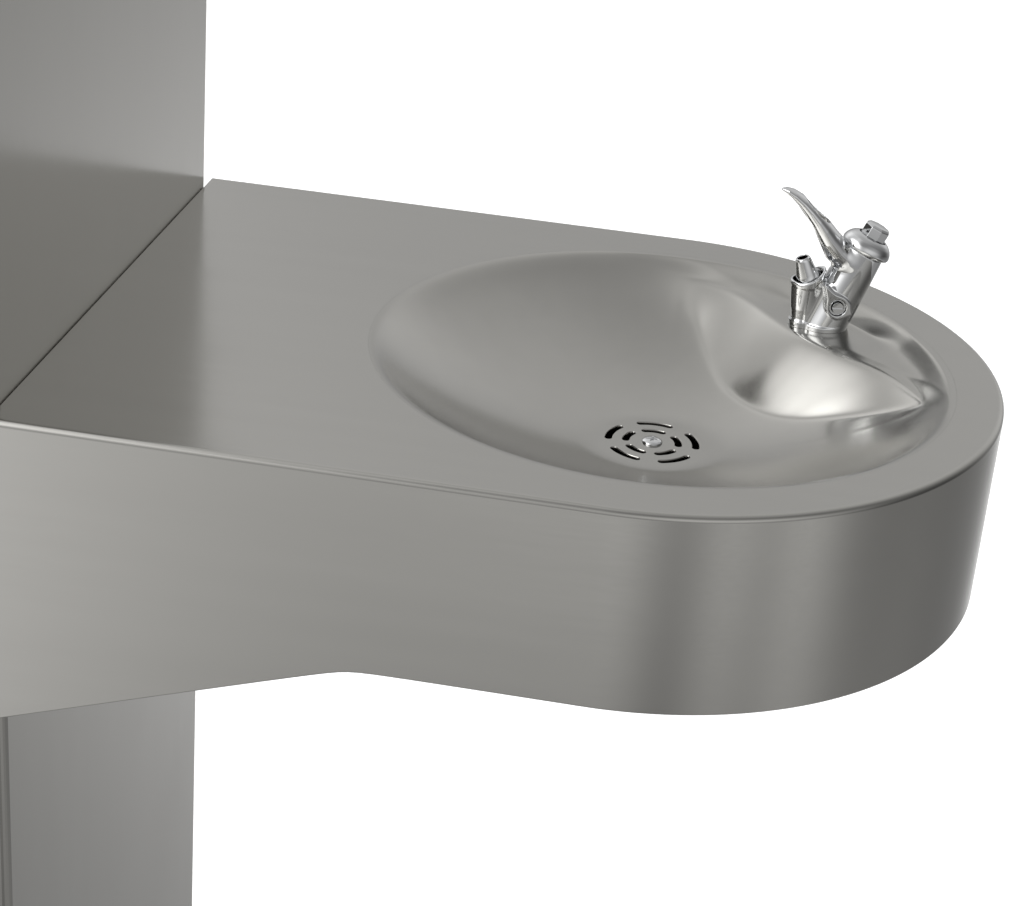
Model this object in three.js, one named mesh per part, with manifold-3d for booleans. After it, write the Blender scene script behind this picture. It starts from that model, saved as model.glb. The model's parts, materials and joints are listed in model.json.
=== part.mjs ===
// Pedestal drinking fountain: a rectangular stainless column that carries a cantilevered arm with
// a round pressed basin, a raised shelf, a chrome bubbler with push button, and its plumbing.
// Millimetres, +Z up, origin on the floor at the centre of the base plate, +X along the arm.
import * as THREE from 'three';
import { mergeVertices } from 'three/addons/utils/BufferGeometryUtils.js';
import Module from 'manifold-3d';

const wasm = await Module();
wasm.setup();

// ---------------------------------------------------------------- driving dimensions
const GAP = 0.3;                 // clearance between neighbouring pieces
const COLUMN_X = 304.8;          // column depth along the arm direction
const COLUMN_Y = 330.2;          // column width
const COLUMN_WALL = 3;
const COLUMN_CORNER = 5;
const COLUMN_TOP = 1117.6;
const CAP_T = 3;
const BASE_X = 368.3;
const BASE_Y = 393.7;
const BASE_T = 9.5;
const ANCHOR_X = 168.5;
const ANCHOR_Y = 181;

const DECK_Z = 850.9;            // top of the arm
const ROOT_X = 154.8;            // where the arm starts, one seam away from the column face
const ARM_HALF = 177.8;
const ARM_STRAIGHT = 279.4;      // root to the centre of the round end
const SKIRT_ROOT = 158.75;       // skirt depth at the root
const SKIRT_TIP = 101.6;         // skirt depth around the basin
const KNEE = 169;                // root to the end of the taper
const TAPER = (SKIRT_ROOT - SKIRT_TIP) / KNEE;
const SHEET = 2.5;
const EDGE_R = 3.2;               // rounded edge between deck and skirt

const BASIN_U = 285.5;           // root to the basin centre
const BASIN_R = 148;
const BOWL_SHEET = 2;
const SHELF_DROP = 8;            // shelf below the deck
const BUBBLER_R = 121;           // basin centre to bubbler centre
const BUBBLER_ANGLE = 50;
const BUBBLER_TURN = 15;         // turn of the bubbler about its own vertical axis
const BARREL_LEAN = 24;          // rearward lean of the valve barrel

const WASTE_R = 15.9;            // outer radius of the waste tubing
const WASTE_BORE = 14;
const WASTE_Z = DECK_Z - 78;     // waste height under the basin
const SUPPLY_R = 4.76;
const SUPPLY_BORE = 3.3;
const SUPPLY_Z = DECK_Z - 70;

const BASIN_X = ROOT_X + BASIN_U;
const rad = THREE.MathUtils.degToRad;
const bubblerX = BASIN_X + BUBBLER_R * Math.cos(rad(BUBBLER_ANGLE));
const bubblerY = BUBBLER_R * Math.sin(rad(BUBBLER_ANGLE));
const shelfZ = DECK_Z - SHELF_DROP;

// ---------------------------------------------------------------- solids
function signedVolume(geometry) {
  const p = geometry.attributes.position;
  const index = geometry.index.array;
  const [a, b, c] = [new THREE.Vector3(), new THREE.Vector3(), new THREE.Vector3()];
  let volume = 0;
  for (let i = 0; i < index.length; i += 3) {
    a.fromBufferAttribute(p, index[i]);
    b.fromBufferAttribute(p, index[i + 1]);
    c.fromBufferAttribute(p, index[i + 2]);
    volume += a.dot(b.cross(c));
  }
  return volume;
}

// A closed three.js geometry as a manifold, facing out whatever its winding was.
function solid(geometry) {
  geometry.deleteAttribute('normal');
  geometry.deleteAttribute('uv');
  const merged = mergeVertices(geometry, 1e-4);
  const index = Array.from(merged.index.array);
  const tris = [];
  for (let i = 0; i < index.length; i += 3) {
    const [a, b, c] = index.slice(i, i + 3);
    if (a !== b && b !== c && a !== c) tris.push(a, b, c);
  }
  merged.setIndex(tris);
  if (signedVolume(merged) < 0) {
    for (let i = 0; i < tris.length; i += 3) [tris[i], tris[i + 1]] = [tris[i + 1], tris[i]];
  }
  return new wasm.Manifold(new wasm.Mesh({
    numProp: 3,
    vertProperties: new Float32Array(merged.attributes.position.array),
    triVerts: new Uint32Array(tris),
  }));
}

function toGeometry(manifold) {
  const mesh = manifold.getMesh();
  const geometry = new THREE.BufferGeometry();
  geometry.setAttribute('position', new THREE.BufferAttribute(mesh.vertProperties, 3));
  geometry.setIndex(new THREE.BufferAttribute(mesh.triVerts, 1));
  geometry.computeVertexNormals();
  return geometry;
}

const union = (...parts) => parts.reduce((all, part) => all.add(part));
const cut = (body, ...tools) => tools.reduce((rest, tool) => rest.subtract(tool), body);

function box(x0, x1, y0, y1, z0, z1) {
  const geometry = new THREE.BoxGeometry(x1 - x0, y1 - y0, z1 - z0);
  geometry.translate((x0 + x1) / 2, (y0 + y1) / 2, (z0 + z1) / 2);
  return solid(geometry);
}

// Upright cylinder or prism from z0 to z1.
function cylinder(x, y, z0, z1, radius, segments = 20, turn = 0) {
  const geometry = new THREE.CylinderGeometry(radius, radius, z1 - z0, segments);
  geometry.rotateX(Math.PI / 2);
  geometry.rotateZ(turn);
  geometry.translate(x, y, (z0 + z1) / 2);
  return solid(geometry);
}

// Cylinder lying along X from x0 to x1.
function rod(x0, x1, y, z, radius, segments = 16) {
  const geometry = new THREE.CylinderGeometry(radius, radius, x1 - x0, segments);
  geometry.rotateZ(Math.PI / 2);
  geometry.translate((x0 + x1) / 2, y, z);
  return solid(geometry);
}

// Profile of [radius, height] pairs turned about the vertical axis.
function turned(profile, segments = 24) {
  const points = profile.map(([r, z]) => new THREE.Vector2(r, z));
  const geometry = new THREE.LatheGeometry(points, segments);
  geometry.rotateX(Math.PI / 2);
  return solid(geometry);
}

function ring(rIn, rOut, z0, z1, segments = 24) {
  return turned([[rIn, z0], [rOut, z0], [rOut, z1], [rIn, z1], [rIn, z0]], segments);
}

// Plan outline extruded from z0 to z1.
function plate(shape, z0, z1, curveSegments = 8) {
  const geometry = new THREE.ExtrudeGeometry(shape, {
    depth: z1 - z0, bevelEnabled: false, curveSegments,
  });
  geometry.translate(0, 0, z0);
  return solid(geometry);
}

// Side outline of [x, z] pairs extruded across Y.
function profileAcrossY(points, y0, y1) {
  const shape = new THREE.Shape(points.map(([x, z]) => new THREE.Vector2(x, z)));
  const geometry = new THREE.ExtrudeGeometry(shape, { depth: y1 - y0, bevelEnabled: false });
  geometry.rotateX(Math.PI / 2);
  geometry.translate(0, y1, 0);
  return solid(geometry);
}

function roundedRect(halfX, halfY, r) {
  const shape = new THREE.Shape();
  shape.moveTo(-halfX + r, -halfY);
  shape.lineTo(halfX - r, -halfY);
  shape.absarc(halfX - r, -halfY + r, r, -Math.PI / 2, 0);
  shape.lineTo(halfX, halfY - r);
  shape.absarc(halfX - r, halfY - r, r, 0, Math.PI / 2);
  shape.lineTo(-halfX + r, halfY);
  shape.absarc(-halfX + r, halfY - r, r, Math.PI / 2, Math.PI);
  shape.lineTo(-halfX, -halfY + r);
  shape.absarc(-halfX + r, -halfY + r, r, Math.PI, 1.5 * Math.PI);
  return shape;
}

function circle(radius) {
  const shape = new THREE.Shape();
  shape.absarc(0, 0, radius, 0, 2 * Math.PI);
  return shape;
}

// Path through corner points with each corner rounded to its bend radius.
class BentPath extends THREE.CurvePath {
  constructor(corners, bend) {
    super();
    let from = corners[0];
    for (let i = 1; i < corners.length - 1; i++) {
      const into = corners[i].clone().sub(corners[i - 1]).normalize();
      const out = corners[i + 1].clone().sub(corners[i]).normalize();
      const reach = bend * Math.tan(into.angleTo(out) / 2);
      const start = corners[i].clone().addScaledVector(into, -reach);
      const end = corners[i].clone().addScaledVector(out, reach);
      const steps = 3;
      const middle = start.clone().addScaledVector(
        out.clone().addScaledVector(into, -out.dot(into)).normalize(), bend);
      const side = start.clone().sub(middle);
      const swing = into.angleTo(out) / steps;
      const axis = into.clone().cross(out).normalize();
      let last = start;
      this.add(new THREE.LineCurve3(from, start));
      for (let s = 1; s <= steps; s++) {
        const next = s === steps ? end : middle.clone().add(
          side.clone().applyAxisAngle(axis, swing * s));
        this.add(new THREE.LineCurve3(last, next));
        last = next;
      }
      from = end;
    }
    this.add(new THREE.LineCurve3(from, corners[corners.length - 1]));
  }
}

// Tube along corner points. Stations sit on the straight lines' ends, so straights stay straight.
function tube(points, rOut, rIn, bend, around = 12) {
  const corners = points.map(([x, y, z]) => new THREE.Vector3(x, y, z));
  const path = new BentPath(corners, bend);
  const stations = [path.curves[0].v1];
  for (const line of path.curves) {
    if (line.v1.distanceTo(line.v2) > 0.01) stations.push(line.v2);
  }
  return solid(sweptRing(stations, rOut, rIn, around));
}

// Rings of points on mitred planes at each station, outer wall, inner wall and the two end rings.
function sweptRing(stations, rOut, rIn, around) {
  const positions = [];
  const index = [];
  const count = stations.length;
  const runs = stations.slice(1).map((end, i) => end.clone().sub(stations[i]).normalize());
  const heading = stations.map((_, i) => runs[Math.max(i - 1, 0)].clone()
    .add(runs[Math.min(i, count - 2)]).normalize());
  let up = Math.abs(heading[0].y) < 0.9
    ? new THREE.Vector3(0, 1, 0) : new THREE.Vector3(1, 0, 0);
  for (let i = 0; i < count; i++) {
    const run = runs[Math.min(i, count - 2)];
    up = up.clone().addScaledVector(heading[i], -up.dot(heading[i])).normalize();
    const side = heading[i].clone().cross(up);
    const stretch = 1 / Math.max(0.5, Math.abs(heading[i].dot(run)));
    const bendAxis = heading[i].clone().cross(run);
    const bent = bendAxis.length() > 1e-6;
    const outward = bent ? bendAxis.normalize().cross(heading[i]) : null;
    for (const r of [rOut, rIn]) {
      for (let k = 0; k < around; k++) {
        const angle = 2 * Math.PI * k / around;
        const spoke = up.clone().multiplyScalar(r * Math.cos(angle))
          .addScaledVector(side, r * Math.sin(angle));
        if (bent) spoke.addScaledVector(outward, spoke.dot(outward) * (stretch - 1));
        spoke.add(stations[i]);
        positions.push(spoke.x, spoke.y, spoke.z);
      }
    }
  }
  const at = (station, wall, k) => (station * 2 + wall) * around + (k % around);
  const quad = (a, b, c, d) => index.push(a, b, c, a, c, d);
  for (let k = 0; k < around; k++) {
    for (let i = 0; i < count - 1; i++) {
      quad(at(i, 0, k), at(i, 0, k + 1), at(i + 1, 0, k + 1), at(i + 1, 0, k));
      quad(at(i, 1, k + 1), at(i, 1, k), at(i + 1, 1, k), at(i + 1, 1, k + 1));
    }
    quad(at(0, 0, k + 1), at(0, 0, k), at(0, 1, k), at(0, 1, k + 1));
    quad(at(count - 1, 0, k), at(count - 1, 0, k + 1), at(count - 1, 1, k + 1),
      at(count - 1, 1, k));
  }
  const geometry = new THREE.BufferGeometry();
  geometry.setAttribute('position', new THREE.Float32BufferAttribute(positions, 3));
  geometry.setIndex(index);
  return geometry;
}

// ---------------------------------------------------------------- finishes
const finishes = {
  satinSteel: { color: 0x9b9992, roughness: 0.38, metalness: 1 },
  sheetSteel: { color: 0x8f8e8a, roughness: 0.5, metalness: 1 },
  plateSteel: { color: 0x7d7c79, roughness: 0.55, metalness: 1 },
  zincSteel: { color: 0xa9a8a2, roughness: 0.45, metalness: 1 },
  chrome: { color: 0xd4d5d6, roughness: 0.08, metalness: 1 },
  brass: { color: 0xb08d4a, roughness: 0.35, metalness: 1 },
  copper: { color: 0xb46f4a, roughness: 0.4, metalness: 1 },
  springSteel: { color: 0x8a8a88, roughness: 0.3, metalness: 1 },
  blackRubber: { color: 0x1b1b1b, roughness: 0.85, metalness: 0 },
  whitePlastic: { color: 0xd9d8d2, roughness: 0.5, metalness: 0 },
  redPlastic: { color: 0xa02a22, roughness: 0.5, metalness: 0 },
};

const group = new THREE.Group();
group.name = 'drinking_fountain';

function addPart(name, body, finish) {
  const mesh = new THREE.Mesh(toGeometry(body), new THREE.MeshStandardMaterial(finishes[finish]));
  mesh.name = name;
  group.add(mesh);
}

// ---------------------------------------------------------------- base and column
const signs = [[1, 1], [1, -1], [-1, 1], [-1, -1]];
const TRAP_X = 12;               // first vertical leg of the trap
const TRAP_STEP = 61;            // distance between trap legs
const RISER_X = TRAP_X - 2 * TRAP_STEP;
const INLET_X = -60;
const INLET_Y = bubblerY;
const inner = { x: COLUMN_X / 2 - COLUMN_WALL, y: COLUMN_Y / 2 - COLUMN_WALL };
const columnFace = COLUMN_X / 2;

function basePlate() {
  const holes = signs.map(([sx, sy]) => cylinder(
    sx * ANCHOR_X, sy * ANCHOR_Y, -1, BASE_T + 1, 7, 12));
  return cut(plate(roundedRect(BASE_X / 2, BASE_Y / 2, 12), 0, BASE_T, 4), ...holes,
    cylinder(RISER_X, 0, -1, BASE_T + 1, 24, 24),
    cylinder(INLET_X, INLET_Y, -1, BASE_T + 1, 10, 16));
}

function anchorBolt(x, y) {
  const stud = cylinder(x, y, 1, 33, 6, 10);
  const washer = cylinder(x, y, BASE_T + GAP, BASE_T + GAP + 2.5, 13, 16);
  const nut = cylinder(x, y, BASE_T + GAP + 2.4, BASE_T + GAP + 12.6, 10.6, 6);
  return union(stud, washer, nut);
}

const BOLT_Y = 90;
const BOLT_DROPS = [35, 128];
const WASTE_SLOPE = 0.01;
const WASTE_BEND = 16.4;
const wasteHeightAt = (x) => WASTE_Z - (BASIN_X - WASTE_BEND - x) * WASTE_SLOPE;
const throughHoles = (x0, x1, boltR, wasteR, supplyR) => [
  ...[-BOLT_Y, BOLT_Y].flatMap((y) => BOLT_DROPS.map((drop) => rod(
    x0, x1, y, DECK_Z - drop, boltR, 10))),
  rod(x0, x1, 0, wasteHeightAt(columnFace), wasteR, 16),
  rod(x0, x1, INLET_Y, SUPPLY_Z, supplyR, 12),
];

const PANEL = { halfY: 115, z0: 110, z1: 470, lap: 18 };
const PANEL_T = 2;
const panelScrews = [-1, 1].flatMap((s) => [PANEL.z0 + 9, PANEL.z1 - 9].map((z) => [
  s * (PANEL.halfY - 9), z]));

function columnShell() {
  const z0 = BASE_T + GAP;
  const z1 = COLUMN_TOP - CAP_T - GAP;
  const shell = cut(
    plate(roundedRect(columnFace, COLUMN_Y / 2, COLUMN_CORNER), z0, z1, 3),
    plate(roundedRect(inner.x, inner.y, COLUMN_CORNER - COLUMN_WALL), z0 - 1, z1 + 1, 2));
  const doorway = box(-columnFace - 5, -columnFace + 8, -PANEL.halfY + PANEL.lap,
    PANEL.halfY - PANEL.lap, PANEL.z0 + PANEL.lap, PANEL.z1 - PANEL.lap);
  const screwHoles = panelScrews.map(([y, z]) => rod(
    -columnFace - 5, -columnFace + 8, y, z, 2.8, 8));
  return cut(shell, doorway, ...screwHoles,
    ...throughHoles(columnFace - 8, columnFace + 5, 5.5, 18, 9));
}

function columnCap() {
  const top = plate(roundedRect(columnFace, COLUMN_Y / 2, COLUMN_CORNER),
    COLUMN_TOP - CAP_T, COLUMN_TOP, 3);
  const lip = cut(
    plate(roundedRect(inner.x - 0.5, inner.y - 0.5, 2), COLUMN_TOP - 14,
      COLUMN_TOP - CAP_T + 0.5, 2),
    plate(roundedRect(inner.x - 3, inner.y - 3, 2), COLUMN_TOP - 15, COLUMN_TOP - CAP_T, 2));
  return union(top, lip);
}

function accessPanel() {
  const x1 = -columnFace - GAP;
  const holes = panelScrews.map(([y, z]) => rod(x1 - 5, x1 + 2, y, z, 2.9, 8));
  const sheet = box(x1 - PANEL_T, x1, -PANEL.halfY, PANEL.halfY, PANEL.z0, PANEL.z1);
  return cut(sheet, ...holes);
}

function accessScrew(y, z) {
  const headX = -columnFace - GAP - PANEL_T - GAP;
  const head = turned([[0, 0], [5, 0], [4.6, 1.4], [2.6, 2.6], [0, 2.8]], 12);
  const shank = cylinder(0, 0, -13, 0.5, 2.4, 8);
  const socket = cylinder(0, 0, 1, 4, 1.6, 6);
  return cut(union(head, shank), socket).rotate([0, -90, 0]).translate([headX, y, z]);
}

addPart('base_plate', basePlate(), 'plateSteel');
signs.forEach(([sx, sy], i) => {
  addPart(`anchor_bolt_${i + 1}`, anchorBolt(sx * ANCHOR_X, sy * ANCHOR_Y), 'zincSteel');
});
addPart('column_shell', columnShell(), 'satinSteel');
addPart('column_cap', columnCap(), 'satinSteel');
addPart('access_panel', accessPanel(), 'satinSteel');
panelScrews.forEach(([y, z], i) => addPart(`access_screw_${i + 1}`, accessScrew(y, z), 'chrome'));

// ---------------------------------------------------------------- arm
// Outline of the arm in plan, drawn inwards by an inset, starting at x0 from the root.
function armOutline(inset, x0) {
  const shape = new THREE.Shape();
  const r = ARM_HALF - inset;
  shape.moveTo(x0, -r);
  shape.lineTo(ARM_STRAIGHT, -r);
  shape.absarc(ARM_STRAIGHT, 0, r, -Math.PI / 2, Math.PI / 2);
  shape.lineTo(x0, r);
  return shape;
}

// Lower edge of the skirt, lifted by rise, as [x, z] from the root and the deck.
const skirtEdge = (rise) => [
  [-20, -SKIRT_ROOT - 20 * TAPER + rise],
  [KNEE - 16, -SKIRT_TIP - 16 * TAPER + rise],
  [KNEE - 5, -SKIRT_TIP - 1.4 + rise],
  [KNEE + 8, -SKIRT_TIP + rise],
  [ARM_HALF * 3, -SKIRT_TIP + rise],
];

const ARM_CURVE = 22;
const LUG_R = 10.5;
const LUG_CENTRE_R = 166;
const LUG_BACK = 78;             // straight-side lugs, behind the centre of the round end
const LUG_ANGLE = 40;            // round-end lugs, away from the arm's centre line
const lugs = [-1, 1].flatMap((side) => [
  [ARM_STRAIGHT - LUG_BACK, side * LUG_CENTRE_R],
  [ARM_STRAIGHT + LUG_CENTRE_R * Math.cos(rad(LUG_ANGLE)),
    side * LUG_CENTRE_R * Math.sin(rad(LUG_ANGLE))],
]);
const UNDER_LOW = -SKIRT_TIP + 3;
const UNDER_T = 2;

function armShell() {
  const geometry = new THREE.ExtrudeGeometry(armOutline(0, -10), {
    depth: SKIRT_ROOT + 20 - EDGE_R,
    bevelEnabled: true,
    bevelThickness: EDGE_R,
    bevelSize: EDGE_R,
    bevelOffset: -EDGE_R,
    bevelSegments: 2,
    curveSegments: ARM_CURVE,
  });
  geometry.translate(0, 0, -SKIRT_ROOT - 20);
  const block = solid(geometry);
  const below = profileAcrossY([
    ...skirtEdge(0), [ARM_HALF * 3, -SKIRT_ROOT - 60], [-20, -SKIRT_ROOT - 60]], -200, 200);
  const hollow = plate(armOutline(SHEET, -30), -SKIRT_ROOT - 40, -SHEET, ARM_CURVE);
  const within = plate(armOutline(1, -30), -SKIRT_ROOT - 40, 5, ARM_CURVE);
  const lugZ = UNDER_LOW + UNDER_T + GAP;
  let body = cut(block, below, hollow, box(-30, 0, -200, 200, -200, 10),
    cylinder(BASIN_U, 0, -10, 10, BASIN_R + GAP / 2, 48));
  for (const [x, y] of lugs) {
    const lug = cylinder(x, y, lugZ, lugZ + 10, LUG_R, 12).intersect(within);
    body = cut(body.add(lug), cylinder(x, y, lugZ - 1, lugZ + 8, 2.3, 8));
  }
  return body.translate([ROOT_X, 0, DECK_Z]);
}

function armUnderplate() {
  const lower = skirtEdge(3);
  const upper = skirtEdge(3 + UNDER_T).reverse();
  const bent = profileAcrossY([...lower, ...upper], -200, 200);
  const holes = lugs.map(([x, y]) => cylinder(x, y, -SKIRT_TIP - 5, -SKIRT_TIP + 12, 2.4, 8));
  return cut(bent.intersect(plate(armOutline(SHEET + 0.4, 7), -220, 0, ARM_CURVE)), ...holes)
    .translate([ROOT_X, 0, DECK_Z]);
}

function underplateScrew(x, y) {
  const head = turned([[0, -2.2], [2.4, -2], [4.2, -1.1], [4.4, 0], [0, 0]], 12);
  const shank = cylinder(0, 0, -0.2, 9, 1.95, 8);
  const slot = box(-5, 5, -0.5, 0.5, -3, -1.3);
  return cut(union(head, shank), slot).translate([ROOT_X + x, y, DECK_Z + UNDER_LOW - GAP]);
}

function rootPlate() {
  const half = ARM_HALF - SHEET - 0.4;
  const sheet = box(ROOT_X + GAP, ROOT_X + 6.3, -half, half,
    DECK_Z - SKIRT_ROOT + 4.5, DECK_Z - SHEET - 0.4);
  return cut(sheet, ...throughHoles(ROOT_X - 5, ROOT_X + 12, 5.5, 18, 9));
}

function rootGasket() {
  const sheet = box(columnFace + GAP, ROOT_X - GAP, -161, 161, DECK_Z - 154, DECK_Z - 5);
  return cut(sheet, ...throughHoles(columnFace - 3, ROOT_X + 3, 5.5, 18, 9));
}

function backingPlate() {
  const x1 = inner.x - GAP;
  const sheet = box(x1 - 8, x1, -125, 125, DECK_Z - 150, DECK_Z - 14);
  return cut(sheet, ...throughHoles(x1 - 12, x1 + 3, 5.3, 18, 9));
}

function rootBolt(y, drop) {
  const headX = ROOT_X + 6.3 + GAP;
  const head = rod(headX, headX + 7, y, DECK_Z - drop, 9.2, 6);
  const shank = rod(inner.x - 14, headX + 0.5, y, DECK_Z - drop, 5, 10);
  return union(head, shank);
}

addPart('arm_shell', armShell(), 'satinSteel');
addPart('arm_underplate', armUnderplate(), 'sheetSteel');
lugs.forEach(([x, y], i) => addPart(`underplate_screw_${i + 1}`, underplateScrew(x, y), 'chrome'));
addPart('arm_root_plate', rootPlate(), 'plateSteel');
addPart('root_gasket', rootGasket(), 'blackRubber');
addPart('column_backing_plate', backingPlate(), 'plateSteel');
[-BOLT_Y, BOLT_Y].flatMap((y) => BOLT_DROPS.map((drop) => [y, drop])).forEach(([y, drop], i) => {
  addPart(`root_bolt_${i + 1}`, rootBolt(y, drop), 'zincSteel');
});

// ---------------------------------------------------------------- basin
// Slope of the bowl surface against radius, from the flat drain seat to the rolled rim.
const BOWL_SLOPES = [
  [0, 0], [28, 0], [40, 0.19], [70, 0.32], [100, 0.46], [125, 0.62], [138, 0.75], [143, 0.68],
  [148, 0],
];

// Height below the deck of the round bowl at radius r.
function bowlHeight(r) {
  let height = 0;
  for (let i = BOWL_SLOPES.length - 1; i > 0; i--) {
    const [r0, s0] = BOWL_SLOPES[i - 1];
    const [r1, s1] = BOWL_SLOPES[i];
    if (r >= r1) break;
    const from = Math.max(r, r0);
    const slopeFrom = s0 + (s1 - s0) * (from - r0) / (r1 - r0);
    height -= (r1 - from) * (s1 + slopeFrom) / 2;
  }
  return height;
}

// Direction in degrees, then the distances from the basin centre to the shelf's lip and to the
// foot of the splash wall below it. The two meet at both tips.
const SPLASH_WALL = [
  [-5, 137.5, 137], [-1, 135.6, 134], [3, 132.5, 127], [7, 129, 114], [13, 123.5, 96],
  [20, 116, 79], [26, 109, 71], [32, 103.5, 66.5], [39, 99.5, 64], [47, 98, 63.3],
  [55, 100.5, 64.5], [63, 106.5, 68], [71, 116, 76], [79, 126, 91], [84, 130.5, 106],
  [88, 133.5, 117.5], [92, 135.5, 127], [96, 137, 135.5], [100, 139, 138.5],
];

// Cubic curve through one column of the splash wall table.
function wallRadius(angle, column) {
  const table = SPLASH_WALL;
  const last = table.length - 1;
  let i = 1;
  while (i < last && table[i][0] < angle) i++;
  const [a0, r0] = [table[i - 1][0], table[i - 1][column]];
  const [a1, r1] = [table[i][0], table[i][column]];
  const before = table[Math.max(i - 2, 0)];
  const after = table[Math.min(i + 1, last)];
  const m0 = (r1 - before[column]) / (a1 - before[0]);
  const m1 = (after[column] - r0) / (after[0] - a0);
  const h = a1 - a0;
  const t = (angle - a0) / h;
  return (2 * t ** 3 - 3 * t ** 2 + 1) * r0 + (t ** 3 - 2 * t ** 2 + t) * h * m0
    + (-2 * t ** 3 + 3 * t ** 2) * r1 + (t ** 3 - t ** 2) * h * m1;
}

const LEAST_WALL_SLOPE = 0.6;
const smoothMax = (a, b, k) => (a + b + Math.sqrt((a - b) ** 2 + k * k)) / 2;

function basinHeight(r, degrees) {
  const bowl = bowlHeight(r);
  if (r > BASIN_R - 0.01) return 0;
  if (degrees <= SPLASH_WALL[0][0] || degrees >= SPLASH_WALL[SPLASH_WALL.length - 1][0]) {
    return Math.min(0, bowl);
  }
  const [lip, foot] = [wallRadius(degrees, 1), wallRadius(degrees, 2)];
  const slope = Math.max((-SHELF_DROP - bowlHeight(foot)) / (lip - foot), LEAST_WALL_SLOPE);
  const beyond = r - lip;
  const wall = -SHELF_DROP + slope * (beyond - Math.sqrt(beyond ** 2 + 4)) / 2;
  return Math.min(0, smoothMax(bowl, wall, beyond > 0 ? 0.4 : 1.6));
}

const BASIN_RINGS = [0, 36, 58, 72, 84, 95, 105, 114, 122, 129, 134.2, 140, BASIN_R - GAP / 2];
const BASIN_AROUND = 48;
const BOWL_BOTTOM = bowlHeight(0);

function basinSheet() {
  const positions = [];
  const index = [];
  for (const drop of [0, -BOWL_SHEET]) {
    positions.push(0, 0, BOWL_BOTTOM + drop);
    for (const r of BASIN_RINGS.slice(1)) {
      for (let k = 0; k < BASIN_AROUND; k++) {
        const degrees = 360 * k / BASIN_AROUND;
        const signed = degrees > 180 ? degrees - 360 : degrees;
        positions.push(r * Math.cos(rad(degrees)), r * Math.sin(rad(degrees)),
          basinHeight(r, signed) + drop);
      }
    }
  }
  const rings = BASIN_RINGS.length - 1;
  const side = 1 + rings * BASIN_AROUND;
  const at = (face, i, k) => face * side + 1 + (i - 1) * BASIN_AROUND + (k % BASIN_AROUND);
  for (let k = 0; k < BASIN_AROUND; k++) {
    index.push(0, at(0, 1, k), at(0, 1, k + 1), side, at(1, 1, k + 1), at(1, 1, k));
    for (let i = 1; i < rings; i++) {
      const [a, b, c, d] = [at(0, i, k), at(0, i + 1, k), at(0, i + 1, k + 1), at(0, i, k + 1)];
      index.push(a, b, c, a, c, d, a + side, c + side, b + side, a + side, d + side, c + side);
    }
    const [a, b] = [at(0, rings, k), at(0, rings, k + 1)];
    index.push(a, a + side, b + side, a, b + side, b);
  }
  const geometry = new THREE.BufferGeometry();
  geometry.setAttribute('position', new THREE.Float32BufferAttribute(positions, 3));
  geometry.setIndex(index);
  return solid(geometry);
}

const SLOT_START = 20.5;         // direction of the first pair of drain slots
const SLOT_ROWS = [{ r: 22.6, span: 38 }, { r: 13.6, span: 37 }];
const SLOT_HALF = 1.7;
const SLOTS_AROUND = 5;

function arcSlot(r, span, middle) {
  const a0 = rad(middle - span / 2);
  const a1 = rad(middle + span / 2);
  const shape = new THREE.Shape();
  shape.absarc(0, 0, r + SLOT_HALF, a0, a1);
  shape.absarc(r * Math.cos(a1), r * Math.sin(a1), SLOT_HALF, a1, a1 + Math.PI);
  shape.absarc(0, 0, r - SLOT_HALF, a1, a0, true);
  shape.absarc(r * Math.cos(a0), r * Math.sin(a0), SLOT_HALF, a0 + Math.PI, a0 + 2 * Math.PI);
  return plate(shape, BOWL_BOTTOM - 6, BOWL_BOTTOM + 6, 2);
}

function basinBowl() {
  const slots = [];
  for (const { r, span } of SLOT_ROWS) {
    for (let i = 0; i < SLOTS_AROUND; i++) {
      slots.push(arcSlot(r, span, SLOT_START + 360 * i / SLOTS_AROUND));
    }
  }
  return cut(basinSheet(), ...slots,
    cylinder(0, 0, BOWL_BOTTOM - 6, BOWL_BOTTOM + 6, 2.4, 12),
    cylinder(bubblerX - BASIN_X, bubblerY, -30, 5, 8.4, 20)).translate([BASIN_X, 0, DECK_Z]);
}

const DRAIN_TOP = BOWL_BOTTOM - BOWL_SHEET - 2.6;

function strainerScrew() {
  const head = turned([[0, GAP], [5.4, GAP], [5.2, 1.4], [3.8, 2.5], [1.6, 3], [0, 3.1]], 20);
  const shank = cylinder(0, 0, -11, GAP + 0.3, 2, 12);
  const cross = union(box(-2.6, 2.6, -0.55, 0.55, 1.6, 5), box(-0.55, 0.55, -2.6, 2.6, 1.6, 5));
  return cut(union(head, shank), cross).translate([BASIN_X, 0, DECK_Z + BOWL_BOTTOM]);
}

function drainGasket() {
  return ring(29.5, 37, DRAIN_TOP + GAP, DRAIN_TOP + 2.3, 20).translate([BASIN_X, 0, DECK_Z]);
}

function drainBody() {
  const t = DRAIN_TOP;
  const cup = turned([
    [28.5, t], [37, t], [37, t - 3], [31, t - 3], [31, t - 6.5], [12.2, t - 8.5],
    [12.2, t - 10.6], [10.6, t - 10.6], [10.6, t - 7], [28.5, t - 5], [28.5, t],
  ], 20);
  const bars = union(box(-29.5, 29.5, -2.5, 2.5, t - 5, t - 1),
    box(-2.5, 2.5, -29.5, 29.5, t - 5, t - 1), cylinder(0, 0, t - 7.4, t - 1, 5.5, 16));
  const body = cut(union(cup, bars), cylinder(0, 0, t - 9, t + 1, 2.3, 12));
  return body.translate([BASIN_X, 0, DECK_Z]);
}

addPart('basin_bowl', basinBowl(), 'satinSteel');
addPart('strainer_screw', strainerScrew(), 'chrome');
addPart('drain_gasket', drainGasket(), 'blackRubber');
addPart('drain_body', drainBody(), 'brass');

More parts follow.
